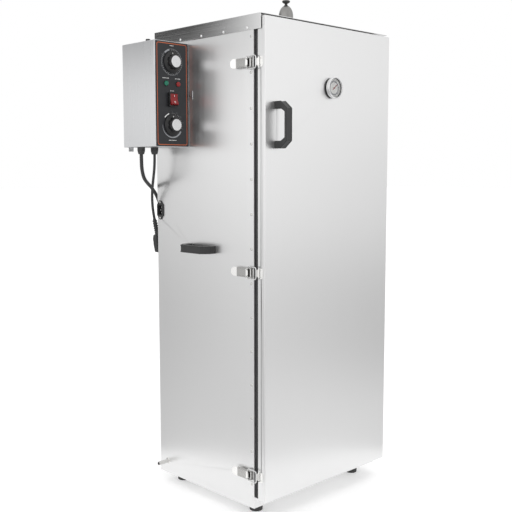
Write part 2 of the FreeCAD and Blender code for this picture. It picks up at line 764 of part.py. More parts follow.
# ---- toggle latches
def latch_base(z):
    """Plate on the wall with two ears that carry the lever."""
    x = -SIDE_X
    half = LATCH_BASE_HALF
    front = LATCH_Y - LATCH_EAR_R
    pieces = [block(x - LATCH_BASE_T, x, front, LATCH_BASE_REAR_Y, z - half, z + half)]
    for lo in (z - half, z + half - LATCH_EAR_T):
        pieces.append(block(LATCH_X, x, front, LATCH_Y + LATCH_EAR_R, lo, lo + LATCH_EAR_T))
        pieces.append(Part.makeCylinder(LATCH_EAR_R, LATCH_EAR_T, V(LATCH_X, LATCH_Y, lo)))
    pin = Part.makeCylinder(RIVET_R + PIN_CLEAR, 4 * half, V(LATCH_X, LATCH_Y, z - 2 * half))
    return fuse(pieces).cut(pin)


def lever_side(lo):
    """Side of the lever's channel, bored for the bail, with a boss at the rivet."""
    outline = [
        (LEVER_TOP_X, LEVER_NECK_Y), (LEVER_TOP_X, LEVER_TAB_Y), (LEVER_TOP_X + 3.5, LEVER_TAB_Y),
        (LEVER_LOW_X, LEVER_TAB_Y - 12.0), (LEVER_LOW_X, LATCH_Y), (LATCH_X - LEVER_BOSS_R, LATCH_Y),
    ]
    side = prism([(x, y, lo) for x, y in outline], Z_AXIS, LEVER_T)
    boss = Part.makeCylinder(LEVER_BOSS_R, LEVER_T, V(LATCH_X, LATCH_Y, lo))
    hook = Part.makeCylinder(BAIL_R + PIN_CLEAR, 2 * LEVER_T, V(BAIL_X, BAIL_PIVOT_Y, lo - LEVER_T / 2))
    return side.fuse(boss).cut(hook)


def latch_lever(z):
    """Channel-shaped lever with its rivet, a narrow nose and a finger tab."""
    x0 = LEVER_TOP_X
    x1 = LEVER_TOP_X + LEVER_T
    low = z - LEVER_HALF
    top = block(x0, x1, LEVER_NECK_Y, LEVER_TAB_Y, low, z + LEVER_HALF)
    nose = block(x0, x1, LEVER_NOSE_Y, LEVER_NECK_Y, z - LEVER_NOSE_HALF, z + LEVER_NOSE_HALF)
    tab = prism(
        [
            (x0, LEVER_TAB_Y, low), (x1, LEVER_TAB_Y, low),
            (x1 - LEVER_TAB_RISE, LEVER_END_Y, low), (x0 - LEVER_TAB_RISE, LEVER_END_Y, low),
        ],
        Z_AXIS, 2 * LEVER_HALF,
    )
    reach = LEVER_HALF + RIVET_REACH
    rivet = Part.makeCylinder(RIVET_R, 2 * reach, V(LATCH_X, LATCH_Y, z - reach))
    sides = [lever_side(lo) for lo in (low, z + LEVER_HALF - LEVER_T)]
    return fuse([top, nose, tab, rivet] + sides)


def latch_bail(z):
    """Wire loop hooked in the lever's sides."""
    x, y0, y1, h, r = BAIL_X, BAIL_PIVOT_Y, BAIL_END_Y, BAIL_HALF, BAIL_BEND_R
    k = r * (1 - math.cos(math.pi / 4))
    edges = [
        Part.LineSegment(V(x, y0, z - h), V(x, y1 + r, z - h)).toShape(),
        Part.Arc(V(x, y1 + r, z - h), V(x, y1 + k, z - h + k), V(x, y1, z - h + r)).toShape(),
        Part.LineSegment(V(x, y1, z - h + r), V(x, y1, z + h - r)).toShape(),
        Part.Arc(V(x, y1, z + h - r), V(x, y1 + k, z + h - k), V(x, y1 + r, z + h)).toShape(),
        Part.LineSegment(V(x, y1 + r, z + h), V(x, y0, z + h)).toShape(),
    ]
    ring = Part.Wire(Part.makeCircle(BAIL_R, V(x, y0, z - h), Y_AXIS))
    loop = Part.Wire(edges).makePipeShell([ring], True, False)
    ends = []
    for s in (-1, 1):
        ends.append(rod((x, y0, z + s * BAIL_HOOK), (x, y0, z + s * h), BAIL_R))
        ends.append(Part.makeSphere(BAIL_R, V(x, y0, z + s * h)))
    return loop.multiFuse(ends)


def catch_screws():
    """Screws that hold the keepers on the door's edge."""
    return [
        screw((-DOOR_X - CATCH_T, -201.5, z + dz), (-1, 0, 0), 2.2, 1.0, 1.4, 5.0)
        for z in LATCH_ZS
        for dz in (-7.5, 7.5)
    ]


def latch_catch(z):
    """Keeper on the door's left edge with the lip that the bail pulls on."""
    x = -DOOR_X
    rear = CATCH_REAR_Y
    plate = block(x - CATCH_T, x, CATCH_FRONT_Y, rear, z - CATCH_HALF, z + CATCH_HALF)
    lip = block(x - CATCH_REACH, x, rear - CATCH_T, rear, z - CATCH_LIP_HALF, z + CATCH_LIP_HALF)
    return fuse([plate, lip])


# ---- door
def door_outer_pan(cutters):
    """Door skin folded back on all four edges."""
    outer = block(-DOOR_X, DOOR_X, DOOR_FRONT_Y, DOOR_BACK_Y, DOOR_Z0, DOOR_Z1)
    edges = [e for e in outer.Edges if abs(e.CenterOfMass.y - DOOR_FRONT_Y) < 0.01]
    outer = outer.makeFillet(1.5, edges)
    inner = block(
        -DOOR_X + SHEET, DOOR_X - SHEET, DOOR_FRONT_Y + SHEET, DOOR_BACK_Y + 1,
        DOOR_Z0 + SHEET, DOOR_Z1 - SHEET,
    )
    return outer.cut([inner] + cutters)


def door_inner_panel(cutters):
    """Rear sheet of the door, set in the folded edges."""
    x = DOOR_X - SHEET
    plate = block(-x, x, DOOR_BACK_Y - SHEET, DOOR_BACK_Y, DOOR_Z0 + SHEET, DOOR_Z1 - SHEET)
    return plate.cut(cutters)


def door_insulation(cutters):
    """Mineral wool inside the door."""
    x = DOOR_X - SHEET
    slab = block(-x, x, DOOR_FRONT_Y + SHEET, DOOR_BACK_Y - SHEET, DOOR_Z0 + SHEET, DOOR_Z1 - SHEET)
    return slab.cut(cutters)


def door_gasket():
    """Rubber seal round the door's rear face."""
    x = DOOR_X - GASKET_INSET
    y1 = FRONT_Y - GASKET_CLEAR
    z0 = DOOR_Z0 + GASKET_INSET
    z1 = DOOR_Z1 - GASKET_INSET
    outer = block(-x, x, DOOR_BACK_Y, y1, z0, z1)
    inner = block(-x + GASKET_W, x - GASKET_W, DOOR_BACK_Y, y1, z0 + GASKET_W, z1 - GASKET_W)
    return outer.cut(inner)


def door_handle():
    """Pull handle on the door."""
    x, z = DOOR_HANDLE_AT
    return bridge(Z_AXIS, -Y_AXIS, X_AXIS, (x, DOOR_FRONT_Y, z))


def door_screws():
    """Handle screws, keeper screws and leaf screws of the door."""
    x, z = DOOR_HANDLE_AT
    offset = (HANDLE_L - HANDLE_FOOT) / 2
    parts = [
        screw((x, DOOR_FRONT_Y + SHEET, z + s * offset), (0, 1, 0), 4.0, 2.0, 2.0, 10.0) for s in (-1, 1)
    ]
    for hz in HINGE_ZS:
        for dz in (-20.0, 20.0):
            parts.append(screw((DOOR_X + LEAF_T - 0.2, -204.0, hz + dz), (1, 0, 0), 2.6, 1.2, 1.6, 6.0))
    return parts + catch_screws()


# ---- thermometer
def thermometer_case():
    """Round case with a rolled bezel and a stem through the door."""
    at = (DIAL_X, DOOR_FRONT_Y, DIAL_Z)
    d = DIAL_DEPTH
    cup = [
        (0, 0), (17.0, 0), (24.5, 2.5), (24.5, d - 4.0), (DIAL_R, d - 3.5), (DIAL_R, d - 0.8),
        (DIAL_R - 0.8, d), (DIAL_R - BEZEL_W, d), (DIAL_R - BEZEL_W, 4.0), (0, 4.0),
    ]
    case = turned(cup, at, (0, -1, 0))
    stem = rod(at, (DIAL_X, DOOR_BACK_Y + STEM_REACH, DIAL_Z), STEM_R)
    nut = Part.makeCylinder(7.0, 4.0, V(DIAL_X, DOOR_BACK_Y, DIAL_Z), Y_AXIS)
    return fuse([case, stem, nut])


def thermometer_dial():
    """Disc behind the needle that fills the case."""
    at = V(DIAL_X, DOOR_FRONT_Y - DIAL_FACE_OUT, DIAL_Z)
    return Part.makeCylinder(DIAL_R - BEZEL_W, DIAL_FACE_T, at, -Y_AXIS)


def thermometer_needle():
    """Pointer on its small hub."""
    hub_at = V(DIAL_X, DOOR_FRONT_Y - 7.1, DIAL_Z)
    hub = Part.makeCylinder(2.0, 2.0, hub_at, -Y_AXIS)
    y = DOOR_FRONT_Y - 7.6
    blade = prism(
        [(-1.0, y, DIAL_Z - 7.0), (1.0, y, DIAL_Z - 7.0), (0.4, y, DIAL_Z + 17.0), (-0.4, y, DIAL_Z + 17.0)],
        -Y_AXIS, 0.5,
    )
    needle = fuse([hub, blade])
    needle.rotate(V(DIAL_X, 0, DIAL_Z), Y_AXIS, NEEDLE_TURN)
    return needle


# ---- control box
def control_box_shell(cutters):
    """Sheet box hung on the left wall, with a screw ear and a rear tab."""
    outer = block(BOX_X0, -SIDE_X, BOX_Y0 + PANEL_T, BOX_Y1, BOX_Z0, BOX_Z1)
    inner = block(
        BOX_X0 + SHEET, -SIDE_X - SHEET, BOX_Y0, BOX_Y1 - SHEET, BOX_Z0 + SHEET, BOX_Z1 - SHEET
    )
    ear = block(-SIDE_X - SHEET, -SIDE_X, EAR_Y0, BOX_Y0 + PANEL_T, EAR_Z - EAR_HALF, EAR_Z + EAR_HALF)
    tab = block(-318.0, -303.0, BOX_Y1 - SHEET, BOX_Y1, BOX_Z0 - 10.0, BOX_Z0)
    return fuse([outer.cut(inner), ear, tab]).cut(cutters)


def control_panel(cutters):
    """Front plate of the control box."""
    plate = block(BOX_X0, -SIDE_X - SHEET, BOX_Y0, BOX_Y0 + PANEL_T, BOX_Z0, BOX_Z1)
    holes = [
        rod((CONTROL_X, BOX_Y0 - 1, z), (CONTROL_X, BOX_Y0 + 3, z), SPINDLE_R + 0.5)
        for z in (TIMER_Z, THERMOSTAT_Z)
    ]
    return plate.cut(holes + cutters)


def dial_drive(z, size):
    """Timer or thermostat behind the panel, bored for its spindle."""
    w, h, d = size
    y = BOX_Y0 + PANEL_T
    body = block(CONTROL_X - w / 2, CONTROL_X + w / 2, y, y + d, z - h / 2, z + h / 2)
    return body.cut(rod((CONTROL_X, y - 1, z), (CONTROL_X, y + 20.2, z), SPINDLE_R + PIN_CLEAR))


def control_knob(z):
    """Skirted knob with finger grips, on its spindle."""
    at = (CONTROL_X, BOX_Y0, z)
    disc = [(0, 1.0), (SKIRT_R, 1.0), (SKIRT_R, 2.5), (SKIRT_R - 4.0, 4.5), (18.0, 5.0), (17.0, KNOB_OUT), (0, KNOB_OUT)]
    body = turned(disc, at, (0, -1, 0))
    scoops = []
    for i in range(8):
        a = 2 * math.pi * i / 8
        cx = CONTROL_X + 20.5 * math.sin(a)
        cz = z + 20.5 * math.cos(a)
        scoops.append(rod((cx, BOX_Y0 - 5.2, cz), (cx, BOX_Y0 - KNOB_OUT - 1, cz), 5.0))
    spindle = rod((CONTROL_X, BOX_Y0 - 2.0, z), (CONTROL_X, BOX_Y0 + PANEL_T + 20.0, z), SPINDLE_R)
    return body.cut(scoops).fuse(spindle)


def knob_cap(z):
    """Metal cap on the knob's end."""
    h = CAP_OUT - KNOB_OUT
    profile = [(0, 0), (CAP_R, 0), (CAP_R, h - 0.8), (CAP_R - 0.8, h), (0, h)]
    return turned(profile, (CONTROL_X, BOX_Y0 - KNOB_OUT, z), (0, -1, 0))


def switch_body():
    """Rocker switch housing with its bezel, hollow where the rocker moves."""
    x, z = CONTROL_X, SWITCH_Z
    bezel = block(x - 13.5, x + 13.5, BOX_Y0 - SWITCH_OUT, BOX_Y0, z - 16.5, z + 16.5)
    housing = block(x - 12.2, x + 12.2, BOX_Y0, BOX_Y0 + 28.0, z - 15.6, z + 15.6)
    hollow = block(x - 10.9, x + 10.9, BOX_Y0 - SWITCH_OUT - 1, BOX_Y0 + 13.0, z - 14.4, z + 14.4)
    pivot = BOX_Y0 + ROCKER_PIVOT_IN
    pivots = rod((x - 11.9, pivot, z), (x + 11.9, pivot, z), RIVET_R + PIN_CLEAR)
    return fuse([bezel, housing]).cut([hollow, pivots])


def switch_rocker():
    """Rocker on its two pivot stubs, tilted to the off side."""
    x, z = CONTROL_X, SWITCH_Z
    pivot = BOX_Y0 + ROCKER_PIVOT_IN
    outline = [
        (pivot - 7.5, 12.4), (pivot - 5.5, 13.2), (pivot + 1.0, 13.4), (pivot + 6.0, 9.0),
        (pivot + 6.0, -9.0), (pivot + 1.0, -13.4), (pivot - 5.5, -13.2), (pivot - 7.5, -12.4),
        (pivot - 5.6, 0.0),
    ]
    body = prism([(x - 10.6, y, z + h) for y, h in outline], X_AXIS, 21.2)
    stubs = rod((x - 11.7, pivot, z), (x + 11.7, pivot, z), RIVET_R)
    rocker = fuse([body, stubs])
    rocker.rotate(V(x, pivot, z), X_AXIS, -ROCKER_TILT)
    return rocker


def indicator_lamps():
    """Two neon lamps with domed lenses."""
    lamps = []
    for s in (-1, 1):
        crown = dome_points(6.0, 4.0)
        crown[-1] = (0, 4.0)
        lens = [(0, -22.0), (5.0, -22.0), (5.0, 0), (7.2, 0), (7.2, 1.5), (6.0, 2.0)]
        profile = lens + [(r, h + 2.5) for r, h in crown]
        lamps.append(turned(profile, (CONTROL_X + s * LAMP_DX, BOX_Y0, LAMP_Z), (0, -1, 0)))
    return lamps


def cable_gland(x):
    """Hexagonal cable gland under the control box."""
    hexagon = [
        (x + GLAND_R * math.cos(math.pi * i / 3), GLAND_Y + GLAND_R * math.sin(math.pi * i / 3), BOX_Z0 - 9.0)
        for i in range(6)
    ]
    nut = prism(hexagon, Z_AXIS, 9.0)
    dome = turned([(0, -GLAND_L), (7.0, -GLAND_L), (9.0, -9.0), (0, -9.0)], (x, GLAND_Y, BOX_Z0), (0, 0, 1))
    neck = Part.makeCylinder(7.5, 8.0, V(x, GLAND_Y, BOX_Z0))
    return fuse([nut, dome, neck])


# ---- what lies on the cords
def cord_coil():
    """Outer shape of the wound-up rest of the power cord."""
    w, h = COIL_HALF_W, COIL_H
    ring = [
        (COIL_R - w, 3.0), (COIL_R - w + 3.0, 0), (COIL_R + w - 3.0, 0), (COIL_R + w, 3.0),
        (COIL_R + w, h - 3.0), (COIL_R + w - 3.0, h), (COIL_R - w + 3.0, h), (COIL_R - w, h - 3.0),
    ]
    return turned(ring, (COIL_X, COIL_Y, 0), (0, 0, 1))


def cord_tie():
    """Strap round the coil's far side."""
    outer = block(
        COIL_X - 6.0, COIL_X + 6.0, COIL_Y + COIL_R - COIL_HALF_W - 1.2, COIL_Y + COIL_R + COIL_HALF_W + 1.2,
        0.0, COIL_H + 1.2,
    )
    return outer.cut(cord_coil())


def power_plug():
    """Moulded plug with its strain relief and three pins, lying on the floor."""
    x, y, z = PLUG_TAIL[-1]
    relief = Part.makeCone(POWER_CORD_R + 0.6, 8.0, 24.0, V(x, y, z), X_AXIS)
    grip = block(x + 24.0, x + 52.0, y - 13.0, y + 13.0, 0.5, 2 * z - 0.5)
    grip = grip.makeFillet(4.0, [e for e in grip.Edges if abs(e.tangentAt(e.FirstParameter).x) > 0.9])
    pins = [
        block(x + 50.0, x + 70.0, y + dy - 0.8, y + dy + 0.8, z - 6.0, z + 0.5) for dy in (-6.4, 6.4)
    ]
    earth = rod((x + 50.0, y, z + 6.0), (x + 73.0, y, z + 6.0), 2.4)
    return fuse([relief, grip, earth] + pins)


def heater_connector():
    """Appliance connector with a ribbed strain relief on the heater lead's end."""
    end = V(*HEATER_ROUTE[-1])
    down = (end - V(*HEATER_ROUTE[-2])).normalize()
    relief = Part.makeCone(4.2, 5.6, 44.0, end, down)
    rings = [
        Part.makeCylinder(6.2, 3.0, end + down * (4.0 + 8.0 * i), down) for i in range(5)
    ]
    grip = block(-13.5, 13.5, -8.5, 8.5, 0.0, 46.0)
    grip = grip.makeFillet(4.0, [e for e in grip.Edges if abs(e.tangentAt(e.FirstParameter).z) > 0.9])
    grip.Placement = FreeCAD.Placement(end + down * 42.0, FreeCAD.Rotation(Z_AXIS, down))
    return fuse([relief, grip] + rings)


def main():
    """Build every node and write it."""
    wall_fasteners = shell_screws() + latch_screws() + side_handle_screws()
    wall_fasteners += inlet_screws() + foot_bolts() + frame_leaf_screws()
    vent = vent_bore()
    drain = drain_bore()
    capillary = sensor_line()
    ends = element_ends()
    glands = [cable_gland(x) for x in (POWER_GLAND_X, HEATER_GLAND_X)]
    wiring = wiring_hole()
    through_left = wall_fasteners + [drain, capillary, inlet_block(), wiring]

    save("body_screws", group(wall_fasteners))
    save("left_side_panel", left_side_panel(through_left))
    save("right_side_panel", right_side_panel(wall_fasteners))
    save("back_panel", back_panel(wall_fasteners))
    save("base_pan", base_pan(wall_fasteners))
    save("top_lid", top_lid(wall_fasteners + [vent]))
    save("front_frame", front_frame())
    save("inner_liner", inner_liner([vent, drain, capillary] + ends))
    save("body_insulation", body_insulation(through_left + [vent] + ends))
    save("rack_guides", rack_guides())
    save("wire_racks", group([wire_rack(z) for z in RACK_LEVELS]))
    save("heating_element", heating_element())
    save("chip_tray", chip_tray())
    save("drip_tray", drip_tray())
    save("sensor_bulb", sensor_bulb())
    save("feet", group(feet()).cut(wall_fasteners))
    save("side_handle", side_handle().cut(wall_fasteners))
    save("power_inlet", power_inlet().cut(inlet_screws()))
    save("drain_spout", drain_spout())
    save("vent_pipe", vent_pipe())
    save("damper_cap", damper_cap())
    save("damper_knob", damper_knob())

    save("hinge_frame_leaves", group([frame_leaf(z) for z in HINGE_ZS]).cut(wall_fasteners))
    save("hinge_pins", group([hinge_pin(z) for z in HINGE_ZS]))
    save("latch_bases", group([latch_base(z) for z in LATCH_ZS]).cut(wall_fasteners))
    for name, z in zip(LATCH_NAMES, LATCH_ZS):
        save("latch_lever_" + name, latch_lever(z))
        save("latch_bail_" + name, latch_bail(z))

    door_fasteners = door_screws()
    case = thermometer_case()
    save("door_screws", group(door_fasteners))
    save("door_outer_pan", door_outer_pan(door_fasteners + [case]))
    save("door_inner_panel", door_inner_panel([case]))
    save("door_insulation", door_insulation(door_fasteners + [case]))
    save("door_gasket", door_gasket())
    save("door_handle", door_handle().cut(door_fasteners))
    save("latch_catches", group([latch_catch(z) for z in LATCH_ZS]).cut(door_fasteners))
    save("hinge_door_leaves", group([door_leaf(z) for z in HINGE_ZS]).cut(door_fasteners))
    save("thermometer_case", case)
    save("thermometer_dial", thermometer_dial())
    save("thermometer_needle", thermometer_needle())

    lamps = indicator_lamps()
    switch = switch_body()
    filled_switch = block(
        CONTROL_X - 12.2, CONTROL_X + 12.2, BOX_Y0 - 1, BOX_Y0 + 28.0, SWITCH_Z - 15.6, SWITCH_Z + 15.6
    )
    save("control_box_shell", control_box_shell(wall_fasteners + glands + [capillary, wiring]))
    save("control_panel", control_panel(lamps + [filled_switch]))
    save("timer_body", dial_drive(TIMER_Z, (46.0, 46.0, 38.0)))
    save("thermostat_body", dial_drive(THERMOSTAT_Z, (40.0, 40.0, 32.0)))
    save("switch_body", switch)
    save("switch_rocker", switch_rocker())
    save("indicator_lamps", group(lamps))
    save("cable_glands", group(glands))
    for name, z in (("timer", TIMER_Z), ("thermostat", THERMOSTAT_Z)):
        save(name + "_knob", control_knob(z))
        save(name + "_knob_cap", knob_cap(z))

    save("power_cord", group([tube("power cord", POWER_ROUTE, POWER_CORD_R),
                              tube("plug tail", PLUG_TAIL, POWER_CORD_R)]))
    save("cord_coil", cord_coil())
    save("cord_tie", cord_tie())
    save("power_plug", power_plug())
    save("heater_lead", tube("heater lead", HEATER_ROUTE, HEATER_LEAD_R))
    save("heater_connector", heater_connector())


main()
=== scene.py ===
"""Electric cabinet smoker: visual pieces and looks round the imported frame.

Shapes are drawn in millimetres in the row frame and scaled to metres when a mesh is made.
"""
import math

import bmesh
import bpy
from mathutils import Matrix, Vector


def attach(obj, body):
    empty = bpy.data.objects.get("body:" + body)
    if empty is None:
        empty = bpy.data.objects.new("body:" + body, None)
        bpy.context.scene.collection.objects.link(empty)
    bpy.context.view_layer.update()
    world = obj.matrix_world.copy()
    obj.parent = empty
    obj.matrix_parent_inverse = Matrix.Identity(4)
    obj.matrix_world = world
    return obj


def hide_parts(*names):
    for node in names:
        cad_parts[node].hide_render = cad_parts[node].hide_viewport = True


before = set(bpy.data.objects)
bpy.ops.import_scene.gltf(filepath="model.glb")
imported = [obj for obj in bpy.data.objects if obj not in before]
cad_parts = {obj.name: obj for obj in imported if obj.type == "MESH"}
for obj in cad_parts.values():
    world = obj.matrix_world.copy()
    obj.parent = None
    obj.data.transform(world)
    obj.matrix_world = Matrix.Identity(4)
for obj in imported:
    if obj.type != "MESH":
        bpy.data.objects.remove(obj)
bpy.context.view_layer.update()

MM = 0.001
X = Vector((1, 0, 0))
Y = Vector((0, 1, 0))
Z = Vector((0, 0, 1))

# ---- places on the cabinet
SIDE_X = -228.0
DOOR_EDGE_X = -226.0
DOOR_FRONT_Y = -215.9
PANEL_Y = 49.2
CONTROL_X = -279.8
BOX_Z0 = 884.5
BOX_Z1 = 1134.5
TIMER_Z = 1086.1
THERMOSTAT_Z = 936.5
LAMP_Z = 1035.0
LAMP_DX = 18.0
SWITCH_Z = 997.0
DIAL_Z = 1024.4
INLET_Y = 167.1
INLET_Z = 725.5
DRAIN_X = -180.0
DRAIN_Y = 150.0
DRAIN_Z = 58.0
DRAIN_TOP_Z = 96.0
VENT_Y = -62.0
DAMPER_TOP_Z = 1239.0
LID_RIVET_Z = 1147.0
GLAND_Y = 143.0
GLAND_XS = (-305.0, -264.0)
LATCHES = {"lower": 108.0, "middle": 592.0, "upper": 1069.5}
LATCH_PIVOT = (-232.0, -174.0)
BAIL_X = -233.6
BAIL_PIVOT_Y = -165.0
BAIL_END_Y = -193.4
DOOR_HANDLE_AT = (-187.0, 930.0)
SIDE_HANDLE_AT = (4.6, 636.5)
GROMMET_AT = (-315.0, 95.0)
FEET = [(sx * 182.0, sy * 140.0) for sx in (-1, 1) for sy in (-1, 1)]

# ---- cords
POWER_CORD_R = 4.5
HEATER_LEAD_R = 3.4
POWER_ROUTE = [
    (-305.0, 143.0, 867.5), (-305.0, 143.0, 848.0), (-301.5, 146.0, 827.5),
    (-287.0, 158.0, 807.5), (-261.0, 179.5, 795.5), (-234.0, 198.5, 784.0),
    (-210.0, 209.0, 764.0), (-193.0, 213.0, 731.0), (-180.0, 211.0, 687.0),
    (-170.0, 207.0, 623.0), (-166.0, 207.0, 523.0), (-168.0, 203.0, 428.0),
    (-162.0, 206.0, 323.0), (-165.0, 204.0, 223.0), (-161.0, 207.0, 143.0),
    (-159.0, 207.0, 80.0), (-151.0, 206.0, 30.0), (-122.0, 204.0, 5.0),
    (-82.0, 199.5, 4.6), (-44.0, 198.0, 4.7),
]
PLUG_TAIL = [(-44.0, 198.0, 13.9), (-14.0, 199.5, 13.0), (18.0, 199.5, 13.0)]
HEATER_ROUTE = [
    (-264.0, 143.0, 867.5), (-264.0, 143.0, 841.0), (-261.0, 153.0, 809.0),
    (-253.0, 170.0, 777.0), (-243.0, 184.0, 747.0), (-234.0, 192.0, 719.0),
    (-229.5, 193.0, 701.0),
]
COIL_X = -44.0
COIL_Y = 252.5
COIL_IN_R = 45.5
COIL_OUT_R = 54.5
COIL_LOW_Z = 4.7
COIL_RISE = 9.2


# ---- camera
camera_data = bpy.data.cameras.new("camera")
camera_data.sensor_width = 36.0
camera_data.lens = 57.44
camera_data.shift_x = -0.0008
camera_data.shift_y = -0.0014
camera = bpy.data.objects.new("camera", camera_data)
camera.location = (-1.525, -1.529, 0.8293)
camera.rotation_euler = (math.radians(90 - 5.99), math.radians(0.055), math.radians(-44.077))
bpy.context.scene.collection.objects.link(camera)
bpy.context.scene.camera = camera
bpy.context.scene.view_settings.view_transform = "Standard"


# ---- looks
class Look:
    """A material whose patterns are read in object coordinates, in millimetres."""

    def __init__(self, name, color, roughness, metallic=0.0, transmission=0.0, ior=1.5):
        self.material = bpy.data.materials.new(name)
        self.material.use_nodes = True
        self.tree = self.material.node_tree
        self.shader = self.tree.nodes["Principled BSDF"]
        self.roughness = roughness
        self.color = color
        self.shader.inputs["Base Color"].default_value = (*color, 1.0)
        self.shader.inputs["Roughness"].default_value = roughness
        self.shader.inputs["Metallic"].default_value = metallic
        self.shader.inputs["Transmission Weight"].default_value = transmission
        self.shader.inputs["IOR"].default_value = ior

    def node(self, kind, **settings):
        made = self.tree.nodes.new(kind)
        for key, value in settings.items():
            setattr(made, key, value)
        return made

    def link(self, source, target):
        self.tree.links.new(source, target)

    def place(self, stretch=(1, 1, 1)):
        """Object coordinates in millimetres, divided by the stretch."""
        coords = self.node("ShaderNodeTexCoord")
        scale = self.node("ShaderNodeVectorMath", operation="MULTIPLY")
        scale.inputs[1].default_value = [1000.0 / s for s in stretch]
        self.link(coords.outputs["Object"], scale.inputs[0])
        return scale.outputs[0]

    def noise(self, size, stretch=(1, 1, 1), detail=3.0, rough=0.55):
        made = self.node("ShaderNodeTexNoise")
        made.inputs["Scale"].default_value = 1.0 / size
        made.inputs["Detail"].default_value = detail
        made.inputs["Roughness"].default_value = rough
        self.link(self.place(stretch), made.inputs["Vector"])
        return made.outputs["Fac"]

    def spread(self, source, low, high, at=(0.3, 0.7)):
        made = self.node("ShaderNodeMapRange")
        made.inputs["From Min"].default_value = at[0]
        made.inputs["From Max"].default_value = at[1]
        made.inputs["To Min"].default_value = low
        made.inputs["To Max"].default_value = high
        self.link(source, made.inputs["Value"])
        return made.outputs["Result"]

    def vary_roughness(self, source, amount, at=(0.3, 0.7)):
        low = max(0.02, self.roughness - amount)
        self.link(self.spread(source, low, self.roughness + amount, at), self.shader.inputs["Roughness"])
        return self

    def vary_color(self, source, other, at=(0.35, 0.7)):
        mix = self.node("ShaderNodeMix", data_type="RGBA")
        mix.inputs["A"].default_value = (*self.color, 1.0)
        mix.inputs["B"].default_value = (*other, 1.0)
        self.link(self.spread(source, 0.0, 1.0, at), mix.inputs["Factor"])
        self.link(mix.outputs["Result"], self.shader.inputs["Base Color"])
        return self

    def bump(self, source, depth, strength=1.0):
        """Relief whose full height is the depth in millimetres."""
        made = self.node("ShaderNodeBump")
        made.inputs["Strength"].default_value = strength
        made.inputs["Distance"].default_value = depth * MM
        self.link(source, made.inputs["Height"])
        for earlier in list(self.shader.inputs["Normal"].links):
            self.link(earlier.from_socket, made.inputs["Normal"])
        self.link(made.outputs["Normal"], self.shader.inputs["Normal"])
        return self

    def grain(self, axis="Z", amount=0.6):
        """Brushed finish with its grain along an axis."""
        self.shader.inputs["Anisotropic"].default_value = amount
        made = self.node("ShaderNodeTangent", direction_type="RADIAL", axis=axis)
        self.link(made.outputs["Tangent"], self.shader.inputs["Tangent"])
        return self


def brushed(name, color, roughness, axis="Z", streak=0.05, depth=0.003, amount=0.6):
    """Sheet steel brushed along an axis."""
    made = Look(name, color, roughness, 1.0)
    long_way = {"X": (120, 1, 1), "Y": (1, 120, 1), "Z": (1, 1, 120)}[axis]
    fine = made.noise(0.9, long_way, 2.0)
    made.vary_roughness(made.noise(2.5, long_way, 4.0), streak)
    made.bump(fine, depth, 0.6)
    return made.grain(axis, amount)


def moulded(name, color, roughness, grain_mm=0.5, depth=0.02, other=None, transmission=0.0):
    """Moulded plastic or rubber with a fine eroded surface."""
    made = Look(name, color, roughness, 0.0, transmission)
    skin = made.noise(grain_mm, detail=3.0)
    made.vary_roughness(made.noise(14.0, detail=4.0), 0.06)
    made.bump(skin, depth, 0.5)
    if other:
        made.vary_color(made.noise(22.0, detail=4.0), other)
    return made


def polished(name, color, roughness, wear_mm=9.0, amount=0.05):
    """Plain or plated metal with faint handling marks."""
    made = Look(name, color, roughness, 1.0)
    made.vary_roughness(made.noise(wear_mm, (1, 1, 3), 5.0), amount)
    return made.bump(made.noise(1.6, detail=2.0), 0.003, 0.4)


SHELL = brushed("shell_steel", (0.80, 0.80, 0.80), 0.31, "Z", 0.035, 0.0013, 0.55)
SHELL.bump(SHELL.noise(260.0, (1, 1, 1.6), 1.0), 0.9, 0.5)
LID = brushed("lid_steel", (0.78, 0.78, 0.78), 0.13, "Y", 0.03, 0.002, 0.3)
BOX = brushed("box_steel", (0.70, 0.705, 0.715), 0.30, "Z", 0.035, 0.002, 0.5)
LINER = brushed("liner_steel", (0.66, 0.655, 0.64), 0.27, "Z", 0.06, 0.003, 0.45)
LINER.vary_color(LINER.noise(60.0, (1, 1, 2.5), 5.0), (0.60, 0.575, 0.53))
# The latch tabs, noses and keepers get a much lighter steel than the satin channels and bases of the same
# latches: real polish, with a painted highlight on top.
HIGHLIT_LATCH_STEEL = polished("latch_steel_painted_highlight", (0.86, 0.855, 0.84), 0.10)
SATIN = brushed("satin_latch_steel", (0.46, 0.455, 0.445), 0.28, "Z", 0.08, 0.005, 0.4)
FASTENER = polished("fastener_steel", (0.72, 0.715, 0.70), 0.22, 3.0, 0.08)
RIVET = polished("rivet_aluminium", (0.93, 0.93, 0.93), 0.42, 3.0, 0.05)
CHROME = polished("chrome", (0.84, 0.84, 0.845), 0.09, 12.0, 0.03)
WIRE = polished("wire_steel", (0.80, 0.80, 0.80), 0.15, 5.0, 0.05)
HEATER = polished("heater_steel", (0.22, 0.20, 0.185), 0.42, 14.0, 0.08)
HEATER.vary_color(HEATER.noise(16.0, detail=5.0), (0.32, 0.235, 0.17))
WOOL = moulded("mineral_wool", (0.62, 0.54, 0.32), 0.95, 2.2, 0.9, (0.70, 0.63, 0.44))
SEAL = moulded("seal_rubber", (0.022, 0.022, 0.023), 0.55, 0.8, 0.04, (0.032, 0.032, 0.033))
FOOT = moulded("foot_rubber", (0.025, 0.025, 0.026), 0.62, 0.9, 0.05, (0.036, 0.035, 0.034))
HANDLE = moulded("handle_plastic", (0.016, 0.016, 0.017), 0.36, 0.45, 0.03, (0.022, 0.022, 0.022))
KNOB = moulded("knob_plastic", (0.007, 0.007, 0.008), 0.20, 0.4, 0.008, (0.010, 0.010, 0.011))
SWITCH = moulded("switch_plastic", (0.009, 0.009, 0.010), 0.24, 0.4, 0.010, (0.013, 0.013, 0.013))
INLET = moulded("inlet_plastic", (0.018, 0.018, 0.019), 0.40, 0.5, 0.025, (0.026, 0.026, 0.026))
GLAND = moulded("gland_nylon", (0.03, 0.03, 0.031), 0.42, 0.5, 0.02, (0.04, 0.04, 0.04))
